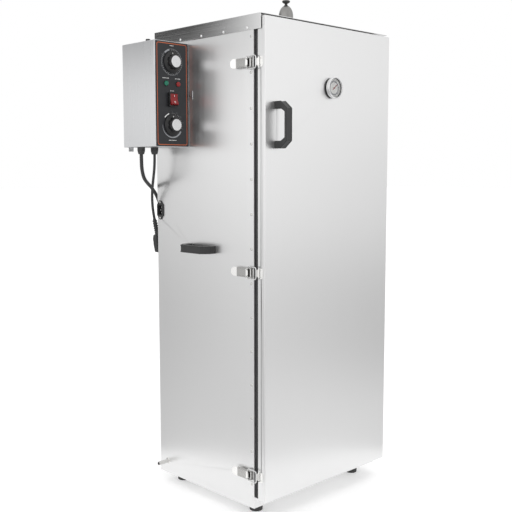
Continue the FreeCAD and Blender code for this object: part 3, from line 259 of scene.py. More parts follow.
CORD = moulded("cord_rubber", (0.022, 0.022, 0.023), 0.50, 0.7, 0.03, (0.030, 0.030, 0.031))
PLUG = moulded("plug_rubber", (0.020, 0.020, 0.021), 0.46, 0.7, 0.04, (0.028, 0.028, 0.028))
STRAP = moulded("strap_nylon", (0.03, 0.03, 0.032), 0.6, 1.1, 0.12, (0.045, 0.045, 0.047))
OVERLAY = moulded("overlay_film", (0.012, 0.013, 0.016), 0.40, 0.35, 0.010, (0.016, 0.017, 0.020))
PRINT_GREY = moulded("grey_print", (0.30, 0.31, 0.33), 0.5, 0.4, 0.004, (0.34, 0.35, 0.37))
PRINT_WHITE = moulded("white_print", (0.80, 0.80, 0.79), 0.5, 0.4, 0.004, (0.76, 0.76, 0.75))
PRINT_ORANGE = moulded("orange_print", (0.56, 0.12, 0.035), 0.5, 0.4, 0.004, (0.50, 0.105, 0.03))
DIAL_WHITE = moulded("dial_enamel", (0.78, 0.78, 0.76), 0.45, 0.6, 0.003, (0.74, 0.74, 0.72))
NEEDLE = moulded("needle_paint", (0.27, 0.035, 0.02), 0.4, 0.5, 0.004, (0.23, 0.03, 0.018))
CAP = brushed("cap_aluminium", (0.80, 0.80, 0.81), 0.22, "Y", 0.05, 0.002, 0.6)
ROCKER = moulded("rocker_red", (0.27, 0.006, 0.008), 0.20, 0.6, 0.006, (0.21, 0.005, 0.007), 0.15)
GREEN = Look("green_lens", (0.01, 0.20, 0.12), 0.12, 0.0, 0.25)
GREEN.bump(GREEN.noise(2.4, detail=2.0), 0.02, 0.5)
RED = Look("red_lens", (0.32, 0.015, 0.015), 0.12, 0.0, 0.25)
RED.bump(RED.noise(2.4, detail=2.0), 0.02, 0.5)
GLASS = Look("lens_glass", (1.0, 1.0, 1.0), 0.02, 0.0, 1.0, 1.46)
GLASS.bump(GLASS.noise(40.0, detail=1.0), 0.01, 0.2)
DEVICE = moulded("device_plastic", (0.055, 0.052, 0.048), 0.5, 0.6, 0.03, (0.07, 0.066, 0.06))
VENT_STEEL = polished("vent_steel", (0.30, 0.295, 0.285), 0.36, 6.0, 0.07)
VENT_KNOB = moulded("damper_knob_plastic", (0.030, 0.028, 0.027), 0.55, 0.8, 0.05, (0.05, 0.046, 0.042))


# ---- shapes
class Spot:
    """A point with its own right, up and outward directions."""

    def __init__(self, x, y, z, right, up):
        self.at = Vector((x, y, z))
        self.right = right
        self.up = up
        self.out = right.cross(up)

    def __call__(self, a, b, c):
        return self.at + self.right * a + self.up * b + self.out * c

    def moved(self, a, b, c):
        p = self(a, b, c)
        return Spot(p.x, p.y, p.z, self.right, self.up)

    def turned(self, angle):
        """The same spot turned about its outward direction."""
        c, s = math.cos(angle), math.sin(angle)
        right = self.right * c + self.up * s
        up = self.up * c - self.right * s
        return Spot(self.at.x, self.at.y, self.at.z, right, up)


def on_door(x, z, out=0.0):
    return Spot(x, DOOR_FRONT_Y - out, z, X, Z)


def on_wall(y, z, out=0.0):
    return Spot(SIDE_X - out, y, z, -Y, Z)


def on_panel(x, z, out=0.0):
    return Spot(x, PANEL_Y - out, z, X, Z)


def upward(x, y, z):
    return Spot(x, y, z, X, Y)


def rounded(w, h, r, steps=5):
    """Corner-rounded rectangle about the middle, counter-clockwise."""
    points = []
    for cx, cy, start in ((1, 1, 0), (-1, 1, 90), (-1, -1, 180), (1, -1, 270)):
        for i in range(steps + 1):
            a = math.radians(start + 90.0 * i / steps)
            points.append((cx * (w / 2 - r) + r * math.cos(a), cy * (h / 2 - r) + r * math.sin(a)))
    return points


def circle(r, steps=32, x=0.0, y=0.0):
    turns = [2 * math.pi * i / steps for i in range(steps)]
    return [(x + r * math.cos(a), y + r * math.sin(a)) for a in turns]


def lathe(bm, spot, profile, steps=48, lobe=None):
    """Spins (radius, height) points about the spot's outward direction."""
    rows = []
    for r, h in profile:
        if r < 1e-6:
            rows.append([bm.verts.new(spot(0, 0, h))])
            continue
        row = []
        for i in range(steps):
            a = 2 * math.pi * i / steps
            k = r * (lobe(a, r, h) if lobe else 1.0)
            row.append(bm.verts.new(spot(k * math.cos(a), k * math.sin(a), h)))
        rows.append(row)
    for low, high in zip(rows, rows[1:]):
        for i in range(steps):
            j = (i + 1) % steps
            if len(low) == 1:
                bm.faces.new((low[0], high[j], high[i]))
            elif len(high) == 1:
                bm.faces.new((low[i], low[j], high[0]))
            else:
                bm.faces.new((low[i], low[j], high[j], high[i]))


def plate(bm, spot, outline, low, high, holes=()):
    """Outline pushed outward from one height to another, with holes through it."""
    loops = [outline, *holes]
    rings = []
    for c in (low, high):
        edges = []
        level = []
        for loop in loops:
            verts = [bm.verts.new(spot(a, b, c)) for a, b in loop]
            edges += [bm.edges.new((verts[i - 1], verts[i])) for i in range(len(verts))]
            level.append(verts)
        if holes:
            bmesh.ops.triangle_fill(bm, edges=edges, use_beauty=True)
        else:
            bm.faces.new(level[0])
        rings.append(level)
    for bottom, top in zip(*rings):
        for i in range(len(bottom)):
            bm.faces.new((bottom[i - 1], bottom[i], top[i], top[i - 1]))


def loft(bm, rows):
    """Skin over closed rows of points."""
    rings = [[bm.verts.new(p) for p in row] for row in rows]
    for low, high in zip(rings, rings[1:]):
        for i in range(len(low)):
            bm.faces.new((low[i - 1], low[i], high[i], high[i - 1]))
    bm.faces.new(rings[0][::-1])
    bm.faces.new(rings[-1])


def sweep(bm, path, r, sides=12, closed=False):
    """Round bar along a path of points; r is one radius or one for each point."""
    points = [Vector(p) for p in path]
    count = len(points)
    radii = r if isinstance(r, list) else [r] * count
    rings = []
    normal = None
    for i, p in enumerate(points):
        before = points[i - 1] if (i or closed) else p
        after = points[(i + 1) % count] if (i < count - 1 or closed) else p
        along = (after - before).normalized()
        if normal is None:
            normal = along.orthogonal().normalized()
        normal = (normal - along * normal.dot(along)).normalized()
        side = along.cross(normal)
        turns = [2 * math.pi * k / sides for k in range(sides)]
        spokes = [normal * (radii[i] * math.cos(a)) + side * (radii[i] * math.sin(a)) for a in turns]
        rings.append([bm.verts.new(p + spoke) for spoke in spokes])
    pairs = list(zip(rings, rings[1:]))
    if closed:
        pairs.append((rings[-1], rings[0]))
    else:
        bm.faces.new(rings[0][::-1])
        bm.faces.new(rings[-1])
    for low, high in pairs:
        for k in range(sides):
            j = (k + 1) % sides
            bm.faces.new((low[k], low[j], high[j], high[k]))


def bent(points, r, steps=5):
    """Polyline with its inner corners rounded to a radius."""
    corners = [Vector(p) for p in points]
    path = [corners[0]]
    for a, b, c in zip(corners, corners[1:], corners[2:]):
        reach = min(r, (b - a).length * 0.49, (c - b).length * 0.49)
        start = b + (a - b).normalized() * reach
        end = b + (c - b).normalized() * reach
        for i in range(steps + 1):
            t = i / steps
            path.append(start.lerp(b, t).lerp(b.lerp(end, t), t))
    path.append(corners[-1])
    return path


def ribbon(bm, spot, middle, width, thick):
    """Flat print along a line of (a, b) points; width is one number or one for each point."""
    widths = width if isinstance(width, list) else [width] * len(middle)
    left = []
    right = []
    for i, (a, b) in enumerate(middle):
        a0, b0 = middle[max(i - 1, 0)]
        a1, b1 = middle[min(i + 1, len(middle) - 1)]
        n = Vector((b0 - b1, a1 - a0)).normalized() * (widths[i] / 2)
        left.append((a + n.x, b + n.y))
        right.append((a - n.x, b - n.y))
    plate(bm, spot, left + right[::-1], 0.0, thick)


def arc(r, start, end, steps=24):
    """Points on a circle, with angles in degrees clockwise from the top."""
    turns = [math.radians(start + (end - start) * i / steps) for i in range(steps + 1)]
    return [(r * math.sin(a), r * math.cos(a)) for a in turns]


def piece(name, bm, body, look, nodes=(), bevel=0.0, angle=30.0, segments=2):
    """A mesh object in the row frame that rides on a body."""
    bmesh.ops.recalc_face_normals(bm, faces=bm.faces)
    bmesh.ops.scale(bm, vec=(MM, MM, MM), verts=bm.verts)
    mesh = bpy.data.meshes.new(name)
    bm.to_mesh(mesh)
    bm.free()
    mesh.polygons.foreach_set("use_smooth", [True] * len(mesh.polygons))
    mesh.set_sharp_from_angle(angle=math.radians(angle))
    mesh.materials.append(look.material)
    made = bpy.data.objects.new(name, mesh)
    bpy.context.scene.collection.objects.link(made)
    if bevel:
        round_edges(made, bevel, angle, segments)
    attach(made, body)
    if nodes:
        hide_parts(*nodes)
    return made


def round_edges(made, width, angle=30.0, segments=2):
    edge = made.modifiers.new("round_edges", "BEVEL")
    edge.width = width * MM
    edge.segments = segments
    edge.limit_method = "ANGLE"
    edge.angle_limit = math.radians(angle)
    edge.use_clamp_overlap = True
    shade = made.modifiers.new("even_shading", "WEIGHTED_NORMAL")
    shade.keep_sharp = True


def soften(node, look, width=0.3, angle=40.0):
    """Gives a CAD node its look and rounded edges."""
    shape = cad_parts[node]
    shape.data.materials.clear()
    shape.data.materials.append(look.material)
    weld = shape.modifiers.new("weld", "WELD")
    weld.merge_threshold = 0.00001
    round_edges(shape, width, angle)


def islands(node):
    """Points of each separate solid of a CAD node, in millimetres."""
    bm = bmesh.new()
    bm.from_mesh(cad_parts[node].data)
    bmesh.ops.remove_doubles(bm, verts=bm.verts, dist=0.000002)
    left = set(bm.verts)
    found = []
    while left:
        stack = [left.pop()]
        part = []
        while stack:
            v = stack.pop()
            part.append(v.co / MM)
            for e in v.link_edges:
                other = e.other_vert(v)
                if other in left:
                    left.remove(other)
                    stack.append(other)
        found.append(part)
    bm.free()
    return found


def fastener_spots(node):
    """(spot on the seat, head radius, head height) of each screw, read from its solid."""
    spots = []
    for part in islands(node):
        low = [min(p[k] for p in part) for k in range(3)]
        high = [max(p[k] for p in part) for k in range(3)]
        size = [high[k] - low[k] for k in range(3)]
        axis = max(range(3), key=lambda k: min(abs(size[k] - size[j]) for j in range(3) if j != k))
        mid = [(low[k] + high[k]) / 2 for k in range(3)]
        others = [k for k in range(3) if k != axis]
        reach = max(size[k] for k in others) / 2
        wide = [p[axis] for p in part if max(abs(p[k] - mid[k]) for k in others) > reach * 0.97]
        seat = sum(wide) / len(wide)
        positive = abs(high[axis] - seat) < abs(low[axis] - seat)
        height = (high[axis] - seat) if positive else (seat - low[axis])
        mid[axis] = seat
        right, up = {
            (0, True): (Y, Z), (0, False): (-Y, Z), (1, True): (-X, Z),
            (1, False): (X, Z), (2, True): (X, Y), (2, False): (X, -Y),
        }[(axis, positive)]
        spots.append((Spot(*mid, right, up), reach, height))
    return spots


def cross_head(bm, spot, r, h, turn=0.0):
    """Pan head with a cross recess and a thin washer rim."""
    place = spot.turned(turn)
    top = r * 0.62
    rim = [(r, 0.0), (r, 0.28 * h), (r * 0.93, 0.62 * h), (r * 0.80, 0.87 * h), (top, h)]
    lathe(bm, place, rim, 28)
    arm = r * 0.46
    half = r * 0.12
    cross = [
        (arm, half), (half, half), (half, arm), (-half, arm), (-half, half), (-arm, half),
        (-arm, -half), (-half, -half), (-half, -arm), (half, -arm), (half, -half), (arm, -half),
    ]
    edges = []
    loops = []
    for outline in (circle(top, 28), cross):
        verts = [bm.verts.new(place(a, b, h)) for a, b in outline]
        edges += [bm.edges.new((verts[i - 1], verts[i])) for i in range(len(verts))]
        loops.append(verts)
    bmesh.ops.triangle_fill(bm, edges=edges, use_beauty=True)
    deep = [bm.verts.new(place(a * 0.8, b * 0.8, h - 0.55 * h)) for a, b in cross]
    for i in range(len(cross)):
        bm.faces.new((loops[1][i - 1], loops[1][i], deep[i], deep[i - 1]))
    bm.faces.new(deep)


def dome_head(bm, spot, r, h):
    """Blind rivet: flat collar, low dome and a dimple."""
    profile = [(r, 0.0), (r, 0.25 * h), (r * 0.92, 0.45 * h), (r * 0.75, 0.8 * h), (r * 0.45, h)]
    lathe(bm, spot, profile + [(r * 0.32, h), (r * 0.28, 0.75 * h), (0.0, 0.7 * h)], 28)


# ---- cords
def curve_cord(name, points, r, look):
    """Round cord along route points in millimetres."""
    data = bpy.data.curves.new(name, "CURVE")
    data.dimensions = "3D"
    data.bevel_depth = r * MM
    data.bevel_resolution = 5
    data.resolution_u = 10
    data.use_fill_caps = True
    spline = data.splines.new("NURBS")
    spline.points.add(len(points) - 1)
    for target, p in zip(spline.points, points):
        target.co = (p[0] * MM, p[1] * MM, p[2] * MM, 1.0)
    spline.order_u = 3
    spline.use_endpoint_u = True
    data.materials.append(look.material)
    made = bpy.data.objects.new(name, data)
    bpy.context.scene.collection.objects.link(made)
    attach(made, "cabinet")
    return made


def coil_points(per_turn=16):
    """Two turns that lie in each other and then over each other."""
    points = []
    total = 2 * per_turn
    for i in range(1, total):
        turn = i / per_turn
        t = turn - 1.0
        if turn <= 1.0:
            r = COIL_OUT_R + (COIL_IN_R - COIL_OUT_R) * turn
            z = COIL_LOW_Z
        else:
            r = COIL_IN_R + (COIL_OUT_R - COIL_IN_R) * t
            z = COIL_LOW_Z + COIL_RISE * (math.sqrt(1 - (1 - 2 * t) ** 2) if t < 0.5 else 1.0)
        a = 2 * math.pi * turn
        r *= 1.008
        points.append((COIL_X + r * math.sin(a), COIL_Y - r * math.cos(a), z))
    return points


POWER_POINTS = POWER_ROUTE + coil_points() + PLUG_TAIL
power_cord = curve_cord("cord_power", POWER_POINTS, POWER_CORD_R, CORD)
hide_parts("power_cord", "cord_coil")
heater_lead = curve_cord("cord_heater", HEATER_ROUTE, HEATER_LEAD_R, CORD)
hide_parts("heater_lead")


def plug_piece():
    """Moulded plug: ribbed strain relief, waisted grip with a front collar."""
    x, y, z = PLUG_TAIL[-1]
    spot = Spot(x, y, z, Y, Z)
    bm = bmesh.new()
    relief = [(0.0, 0.0), (5.1, 0.0)]
    for i in range(5):
        a = 2.0 + 4.2 * i
        r = 5.6 + 0.45 * i
        relief += [(r - 0.7, a), (r, a + 0.5), (r, a + 2.2), (r - 0.7, a + 2.7)]
    lathe(bm, spot, relief + [(8.0, 24.5), (0.0, 24.5)], 32)
    sections = [
        (23.5, 17.0, 15.0), (27.0, 21.5, 19.5), (33.0, 20.0, 18.5), (40.0, 21.0, 20.0), (44.0, 25.0, 24.0),
        (51.6, 25.0, 24.0), (52.0, 24.2, 23.2),
    ]
    loft(bm, [[spot(a, b, c) for a, b in rounded(w, h, min(w, h) * 0.32)] for c, w, h in sections])
    for side in (-1, 1):
        for i in range(4):
            plate(bm, spot.moved(side * 10.2, 0, 30.0 + 3.0 * i), rounded(1.0, 12.0, 0.45, 2), 0.0, 1.4)
    return piece("plug_body", bm, "cabinet", PLUG, ["power_plug"], 0.25)


def plug_pins():
    x, y, z = PLUG_TAIL[-1]
    spot = Spot(x, y, z, Y, Z)
    bm = bmesh.new()
    for across in (-6.4, 6.4):
        plate(bm, spot.moved(across, -2.75, 0), rounded(1.5, 6.4, 0.5, 2), 51.0, 69.6)
    earth = [(0, 51.0), (2.4, 51.0), (2.4, 71.0), (1.9, 72.4), (1.0, 72.9), (0, 72.9)]
    lathe(bm, spot.moved(0, 6.0, 0), earth, 24)
    return piece("plug_pins", bm, "cabinet", FASTENER, (), 0.2)


def tie_piece():
    """Strap round both turns at the coil's far side."""
    bm = bmesh.new()
    far_y = COIL_Y + (COIL_IN_R + COIL_OUT_R) / 2
    spot = Spot(COIL_X, far_y, 9.3, Y, Z)
    outer = rounded(19.8, 18.5, 6.5, 6)
    inner = rounded(18.2, 16.9, 5.8, 6)
    plate(bm, spot, outer, -5.0, 5.0, [inner])
    plate(bm, Spot(COIL_X, far_y, 18.5, X, Y), rounded(9.0, 7.0, 1.0), 0.0, 0.7)
    return piece("tie_strap", bm, "cabinet", STRAP, ["cord_tie"], 0.25)


def connector_piece():
    """Appliance connector with a ribbed strain relief."""
    end = Vector(HEATER_ROUTE[-1])
    down = (end - Vector(HEATER_ROUTE[-2])).normalized()
    right = Y.cross(down).normalized()
    up = down.cross(right)
    spot = Spot(end.x, end.y, end.z, right, up)
    bm = bmesh.new()
    profile = [(0.0, 0.0), (4.2, 0.0), (4.4, 3.6)]
    for i in range(6):
        a = 4.0 + 6.4 * i
        profile += [(4.6 + 0.1 * i, a), (6.2, a + 0.6), (6.2, a + 3.4), (4.6 + 0.1 * i, a + 4.0)]
    profile += [(6.0, 42.0), (7.0, 43.5), (0.0, 43.5)]
    lathe(bm, spot, profile, 32)
    sections = [
        (42.0, 17.0, 12.0), (43.5, 20.0, 14.5), (52.0, 25.0, 16.6), (62.0, 25.6, 16.8), (66.0, 27.0, 17.0),
        (87.2, 27.0, 17.0), (88.0, 26.0, 16.0),
    ]
    loft(bm, [[spot(a, b, c) for a, b in rounded(w, h, 4.0)] for c, w, h in sections])
    for side in (-1, 1):
        place = Spot(*spot(0, side * 8.4, 52.0), right * -side, down)
        for i in range(5):
            plate(bm, place.moved(0, 3.0 * i, 0), rounded(15.0, 1.3, 0.6, 2), -0.5, 0.6)
    return piece("heater_plug", bm, "cabinet", PLUG, ["heater_connector"], 0.25)


plug = plug_piece()
pins = plug_pins()
tie = tie_piece()
connector = connector_piece()

# ---- sheets and inside, carried over from the frame
CARRIED = [
    (SHELL, 0.35, ["left_side_panel", "right_side_panel", "back_panel", "front_frame", "base_pan"]),
    (SHELL, 0.6, ["door_outer_pan"]),
    (LID, 0.5, ["top_lid"]),
    (LINER, 0.35, ["inner_liner", "rack_guides", "door_inner_panel", "chip_tray", "drip_tray"]),
    (WIRE, 0.2, ["wire_racks"]),
    (HEATER, 0.2, ["heating_element"]),
    (FASTENER, 0.3, ["sensor_bulb", "hinge_pins"]),
    (SATIN, 0.4, ["hinge_frame_leaves", "hinge_door_leaves"]),
    (WOOL, 1.0, ["body_insulation", "door_insulation"]),
    (SEAL, 1.6, ["door_gasket"]),
    (BOX, 0.6, ["control_box_shell", "control_panel"]),
    (DEVICE, 0.6, ["timer_body", "thermostat_body"]),
    (SWITCH, 0.7, ["switch_body"]),
    (VENT_STEEL, 0.25, ["vent_pipe", "damper_cap"]),
]
for look, width, names in CARRIED:
    for carried in names:
        soften(carried, look, width)

# ---- screws
bm = bmesh.new()
rivets = bmesh.new()
for i, (spot, r, h) in enumerate(fastener_spots("body_screws")):
    if abs(spot.at.z - LID_RIVET_Z) < 2.0 and abs(spot.at.x) > 200.0:
        dome_head(rivets, spot, r, h)
    else:
        cross_head(bm, spot, r, h, 0.7 * i)
piece("rivets_lid", rivets, "cabinet", RIVET, (), 0.0, 40.0)
piece("screws_body", bm, "cabinet", FASTENER, ["body_screws"], 0.0, 40.0)
bm = bmesh.new()
for i, (spot, r, h) in enumerate(fastener_spots("door_screws")):
    cross_head(bm, spot, r, h, 0.9 * i)
piece("screws_door", bm, "door", FASTENER, ["door_screws"], 0.0, 40.0)


# ---- toggle latches
def channel_section(half, depth, thick, r, steps=4):
    """U outline as (across, outward) points, open towards the wall."""
    turns = [math.pi / 2 * i / steps for i in range(steps + 1)]
    outer = [(-half, -depth)] + [(-half + r - r * math.cos(a), -r + r * math.sin(a)) for a in turns]
    outer += [(-a, b) for a, b in reversed(outer)]
    k = r - thick
    inner = [(-half + thick, -depth)]
    inner += [(-half + r - k * math.cos(a), -r + k * math.sin(a)) for a in turns]
    inner += [(-a, b) for a, b in reversed(inner)]
    return outer + inner[::-1]


def tongue(bm, z, rows, thick):
    """Thin strip through (x, y, half width) rows, with its thickness towards the wall."""
    loft(bm, [
        [
            Vector((x, y, z - half)), Vector((x, y, z + half)),
            Vector((x + thick, y, z + half)), Vector((x + thick, y, z - half)),
        ]
        for x, y, half in rows
    ])


LEVER_X = -238.0
LEVER_HALF = 11.0
BAIL_HALF = 14.2


def base_piece():
    bm = bmesh.new()
    pivot_x, pivot_y = LATCH_PIVOT
    for z in LATCHES.values():
        plate(bm, on_wall(-157.2, z), rounded(40.4, 19.2, 2.5), 0.0, 1.5)
        rib = [Vector((SIDE_X - 1.5, y, z)) for y in (-153.0, -151.5, -150.0)]
        sweep(bm, rib, [0.6, 1.0, 0.6], 10)
        ear = [(SIDE_X, pivot_y - 3.4)]
        for i in range(13):
            a = math.radians(270 - 15 * i)
            ear.append((pivot_x + 3.4 * math.cos(a), pivot_y + 3.4 * math.sin(a)))
        ear.append((SIDE_X, pivot_y + 3.4))
        for low in (z - 9.6, z + 8.4):
            plate(bm, upward(0, 0, low), ear, 0.0, 1.2)
    piece("latch_base_plates", bm, "cabinet", SATIN, ["latch_bases"], 0.3)


def lever_pieces(name, z):
    """Satin channel, its polished tab, and its polished nose with the rivet; tab and nose carry a painted
    highlight in their lighter steel.
    """
    pivot_x, pivot_y = LATCH_PIVOT
    bm = bmesh.new()
    stations = [(-163.0, 7.8), (-145.0, 7.8), (-141.0, 6.6), (-137.0, 4.4), (-133.2, 3.4)]
    loft(bm, [
        [Vector((LEVER_X - b, y, z + a)) for a, b in channel_section(LEVER_HALF, depth, 1.0, 1.8)]
        for y, depth in stations
    ])
    leg = [(LEVER_X + 1.8, -162.5)]
    for i in range(13):
        a = math.radians(180 + 15 * i)
        leg.append((pivot_x + 3.2 * math.cos(a), pivot_y + 3.2 * math.sin(a)))
    leg += [(-230.2, -170.5), (-230.2, -162.5)]
    for low in (z - LEVER_HALF, z + LEVER_HALF - 1.0):
        plate(bm, upward(0, 0, low), leg, 0.0, 1.0)
    for side in (-1, 1):
        bead = [Vector((LEVER_X + 0.1, y, z + side * 7.6)) for y in (-160.0, -158.0, -139.0, -137.0)]
        sweep(bm, bead, [0.2, 0.5, 0.5, 0.2], 8)
    node = "latch_lever_" + name
    piece("lever_channel_" + name, bm, "lever_" + name, SATIN, [node], 0.2)
    bm = bmesh.new()
    rows = []
    for i in range(15):
        t = i / 14
        y = -133.4 + 18.7 * t
        rise = 1.6 * t * t
        half = 11.0 if t < 0.45 else 11.0 * math.sqrt(max(1 - ((t - 0.45) / 0.58) ** 2, 0.02))
        rows.append((LEVER_X - rise, y, half))
    tongue(bm, z, rows, 0.95)
    piece("lever_tab_" + name, bm, "lever_" + name, HIGHLIT_LATCH_STEEL, (), 0.35)
    bm = bmesh.new()
    nose = [
        (-238.0, -162.6, 10.6), (-238.1, -164.0, 7.0), (-238.1, -166.0, 6.0), (-237.8, -168.0, 6.0),
        (-237.2, -169.4, 5.6),
    ]
    tongue(bm, z, nose, 1.0)
    for side in (-1, 1):
        eye = [
            Vector((-237.2, -166.4 + 2.1 * math.cos(a), z + side * 8.6 + 2.1 * math.sin(a)))
            for a in (2 * math.pi * i / 20 for i in range(20))
        ]
        sweep(bm, eye, 0.9, 10, True)
        rivet = [(0, 0.0), (1.5, 0.0), (1.5, 0.45), (1.1, 0.78), (0, 0.8)]
        spot = Spot(pivot_x, pivot_y, z + side * LEVER_HALF, X, Y if side > 0 else -Y)
        lathe(bm, spot, rivet, 20)
    lathe(bm, upward(pivot_x, pivot_y, z - 10.5), [(0, 0), (1.5, 0), (1.5, 21.0), (0, 21.0)], 20)
    piece("lever_nose_" + name, bm, "lever_" + name, HIGHLIT_LATCH_STEEL, (), 0.25)


def bail_piece(name, z):
    bm = bmesh.new()
    high = z + BAIL_HALF
    hook = [(BAIL_PIVOT_Y, z + 9.8), (BAIL_PIVOT_Y, high), (BAIL_PIVOT_Y - 14.0, high)]
    bow = [(BAIL_PIVOT_Y - 16.0, high), (BAIL_END_Y, high), (BAIL_END_Y, z)]
    path = bent([(BAIL_X, *p) for p in hook], 2.0) + bent([(BAIL_X, *p) for p in bow], 9.0, 10)
    path += [Vector((p.x, p.y, 2 * z - p.z)) for p in reversed(path[:-1])]
    sweep(bm, path, 1.25, 14)
    piece("bail_wire_" + name, bm, "bail_" + name, WIRE, ["latch_bail_" + name], 0.3)


def catch_piece():
    bm = bmesh.new()
    for z in LATCHES.values():
        spot = Spot(DOOR_EDGE_X, -200.7, z, -Y, Z)
        plate(bm, spot, rounded(16.6, 24.0, 4.0), 0.0, 1.2)
        profile = [
            (-226.0, -199.0), (-227.2, -196.6), (-229.0, -193.9), (-231.2, -193.6),
            (-231.4, -193.0), (-231.2, -192.4), (-228.5, -192.5), (-226.0, -194.4),
        ]
        loft(bm, [[Vector((x, y, z + dz)) for x, y in profile] for dz in (-8.0, -7.0, 7.0, 8.0)])
    # Keepers in the lighter latch steel: real polish, with a painted highlight.
    piece("latch_keepers", bm, "door", HIGHLIT_LATCH_STEEL, ["latch_catches"], 0.3)


base_piece()
catch_piece()
for latch, latch_z in LATCHES.items():
    lever_pieces(latch, latch_z)
    bail_piece(latch, latch_z)


# ---- bridge handles
def bridge(bm, spot):
    """Bridge handle along the spot's right direction, with a shallow groove outside."""
    outside = [(-53.0, 0.0), (-53.0, 17.0), (-52.4, 18.8), (-37.4, 37.2), (-35.6, 38.0)]
    inside = [(-36.0, 0.0), (-36.0, 17.4), (-35.6, 18.4), (-28.8, 29.4), (-27.4, 30.0)]
    outside += [(-u, v) for u, v in reversed(outside)]
    inside += [(-u, v) for u, v in reversed(inside)]
    rows = []
    for (u0, v0), (u1, v1) in zip(outside, inside):
        out = spot(u0, 0, v0)
        thick = spot(u1, 0, v1) - out
        t = thick.length
        inward = thick / t
        section = [
            (-9.5, 2.2), (-9.2, 0.9), (-8.2, 0.0), (-6.6, 0.0), (-6.0, 1.1), (6.0, 1.1), (6.6, 0.0),
            (8.2, 0.0), (9.2, 0.9), (9.5, 2.2), (9.5, t - 1.6), (8.0, t), (-8.0, t), (-9.5, t - 1.6),
        ]
        rows.append([out + spot.up * s + inward * d for s, d in section])
    loft(bm, rows)


bm = bmesh.new()
bridge(bm, Spot(DOOR_HANDLE_AT[0], DOOR_FRONT_Y, DOOR_HANDLE_AT[1], Z, -X))
piece("handle_door", bm, "door", HANDLE, ["door_handle"], 0.5, 25.0)
bm = bmesh.new()
bridge(bm, on_wall(*SIDE_HANDLE_AT))
piece("handle_side", bm, "cabinet", HANDLE, ["side_handle"], 0.5, 25.0)


# ---- thermometer
def numbers(name, marks, body, look, size):
    """Flat dial numbers: (text, spot) pairs, centred on their spots."""
    bm = bmesh.new()
    for text, spot in marks:
        data = bpy.data.curves.new("digits", "FONT")
        data.body = text
        data.size = size
        data.align_x = "CENTER"
        data.align_y = "CENTER"
        data.resolution_u = 3
        data.extrude = 0.03
        glyph = bpy.data.objects.new("digits", data)
        bpy.context.scene.collection.objects.link(glyph)
        flat = bpy.data.meshes.new_from_object(glyph.evaluated_get(bpy.context.evaluated_depsgraph_get()))
        for v in flat.vertices:
            v.co = spot(v.co.x, v.co.y, v.co.z)
        bm.from_mesh(flat)
        bpy.data.objects.remove(glyph)
        bpy.data.meshes.remove(flat)
    return piece(name, bm, body, look)


def ticks(bm, spot, start, end, count, r, long, wide, thick=0.06):
    for i in range(count):
        a = math.radians(start + (end - start) * i / max(count - 1, 1))
        place = spot.turned(-a)
        reach = long * (1.5 if i % 5 == 0 and count > 12 else 1.0)
        plate(bm, place.moved(0, r - reach / 2, 0), rounded(wide, reach, wide * 0.3, 2), 0.0, thick)


THERMO = on_door(0.0, DIAL_Z)
bm = bmesh.new()
lathe(bm, THERMO, [
    (0, -57.9), (1.6, -57.6), (3.0, -56.0), (3.0, -28.0), (3.0, -0.1), (17.0, 0.0), (22.5, 1.4), (24.3, 2.8),
    (24.5, 9.8), (25.2, 10.4), (22.6, 10.4), (22.6, 4.2), (0, 4.2),
], 72)
plate(bm, THERMO.moved(0, 0, -28.0), circle(7.0, 6), 0.0, 3.9)
piece("thermometer_body", bm, "door", HANDLE, ["thermometer_case"], 0.2)
bm = bmesh.new()
lathe(bm, THERMO, [
    (23.0, 4.2), (23.0, 12.6), (23.3, 13.5), (24.0, 13.95), (24.9, 13.9), (25.6, 13.4), (25.95, 12.6),
    (26.0, 11.2), (25.8, 10.2), (24.6, 9.4), (24.5, 9.0), (24.5, 4.2), (23.0, 4.2),
], 96)
piece("thermometer_bezel", bm, "door", CHROME)
bm = bmesh.new()
lathe(bm, THERMO, [(0, 6.0), (22.9, 6.0), (22.9, 6.6), (22.7, 6.8), (0, 6.8)], 72)
piece("thermometer_face", bm, "door", DIAL_WHITE, ["thermometer_dial"])
FACE = THERMO.moved(0, 0, 6.8)
bm = bmesh.new()
plate(bm, FACE, circle(17.6, 72), 0.0, 0.05, [circle(13.6, 72)])
piece("thermometer_band", bm, "door", PRINT_GREY)
bm = bmesh.new()
ticks(bm, FACE, -135.0, 135.0, 31, 21.2, 2.0, 0.45)
piece("thermometer_ticks", bm, "door", KNOB)
marks = []
for i, text in enumerate(("50", "100", "150", "200", "250", "300")):
    a = math.radians(-135.0 + 54.0 * i)
    marks.append((text, FACE.moved(15.6 * math.sin(a), 15.6 * math.cos(a), 0.06)))
numbers("thermometer_numbers", marks, "door", KNOB, 3.2)
bm = bmesh.new()
pointer = THERMO.turned(math.radians(-52.0))
lathe(bm, THERMO, [(0, 7.1), (2.0, 7.1), (2.0, 8.5), (1.5, 9.0), (0, 9.1)], 32)
arrow = [(-1.0, -7.0), (1.0, -7.0), (0.75, 9.0), (1.3, 10.0), (0.0, 17.0), (-1.3, 10.0), (-0.75, 9.0)]
plate(bm, pointer.moved(0, 0, 7.6), arrow, 0.0, 0.5)
piece("thermometer_pointer", bm, "needle", NEEDLE, ["thermometer_needle"], 0.1)
bm = bmesh.new()
lathe(bm, THERMO, [
    (0, 12.8), (10.0, 12.7), (18.0, 12.4), (23.2, 11.9), (23.2, 11.0), (18.0, 11.4), (10.0, 11.7), (0, 11.8),
], 72)
piece("thermometer_lens", bm, "door", GLASS)


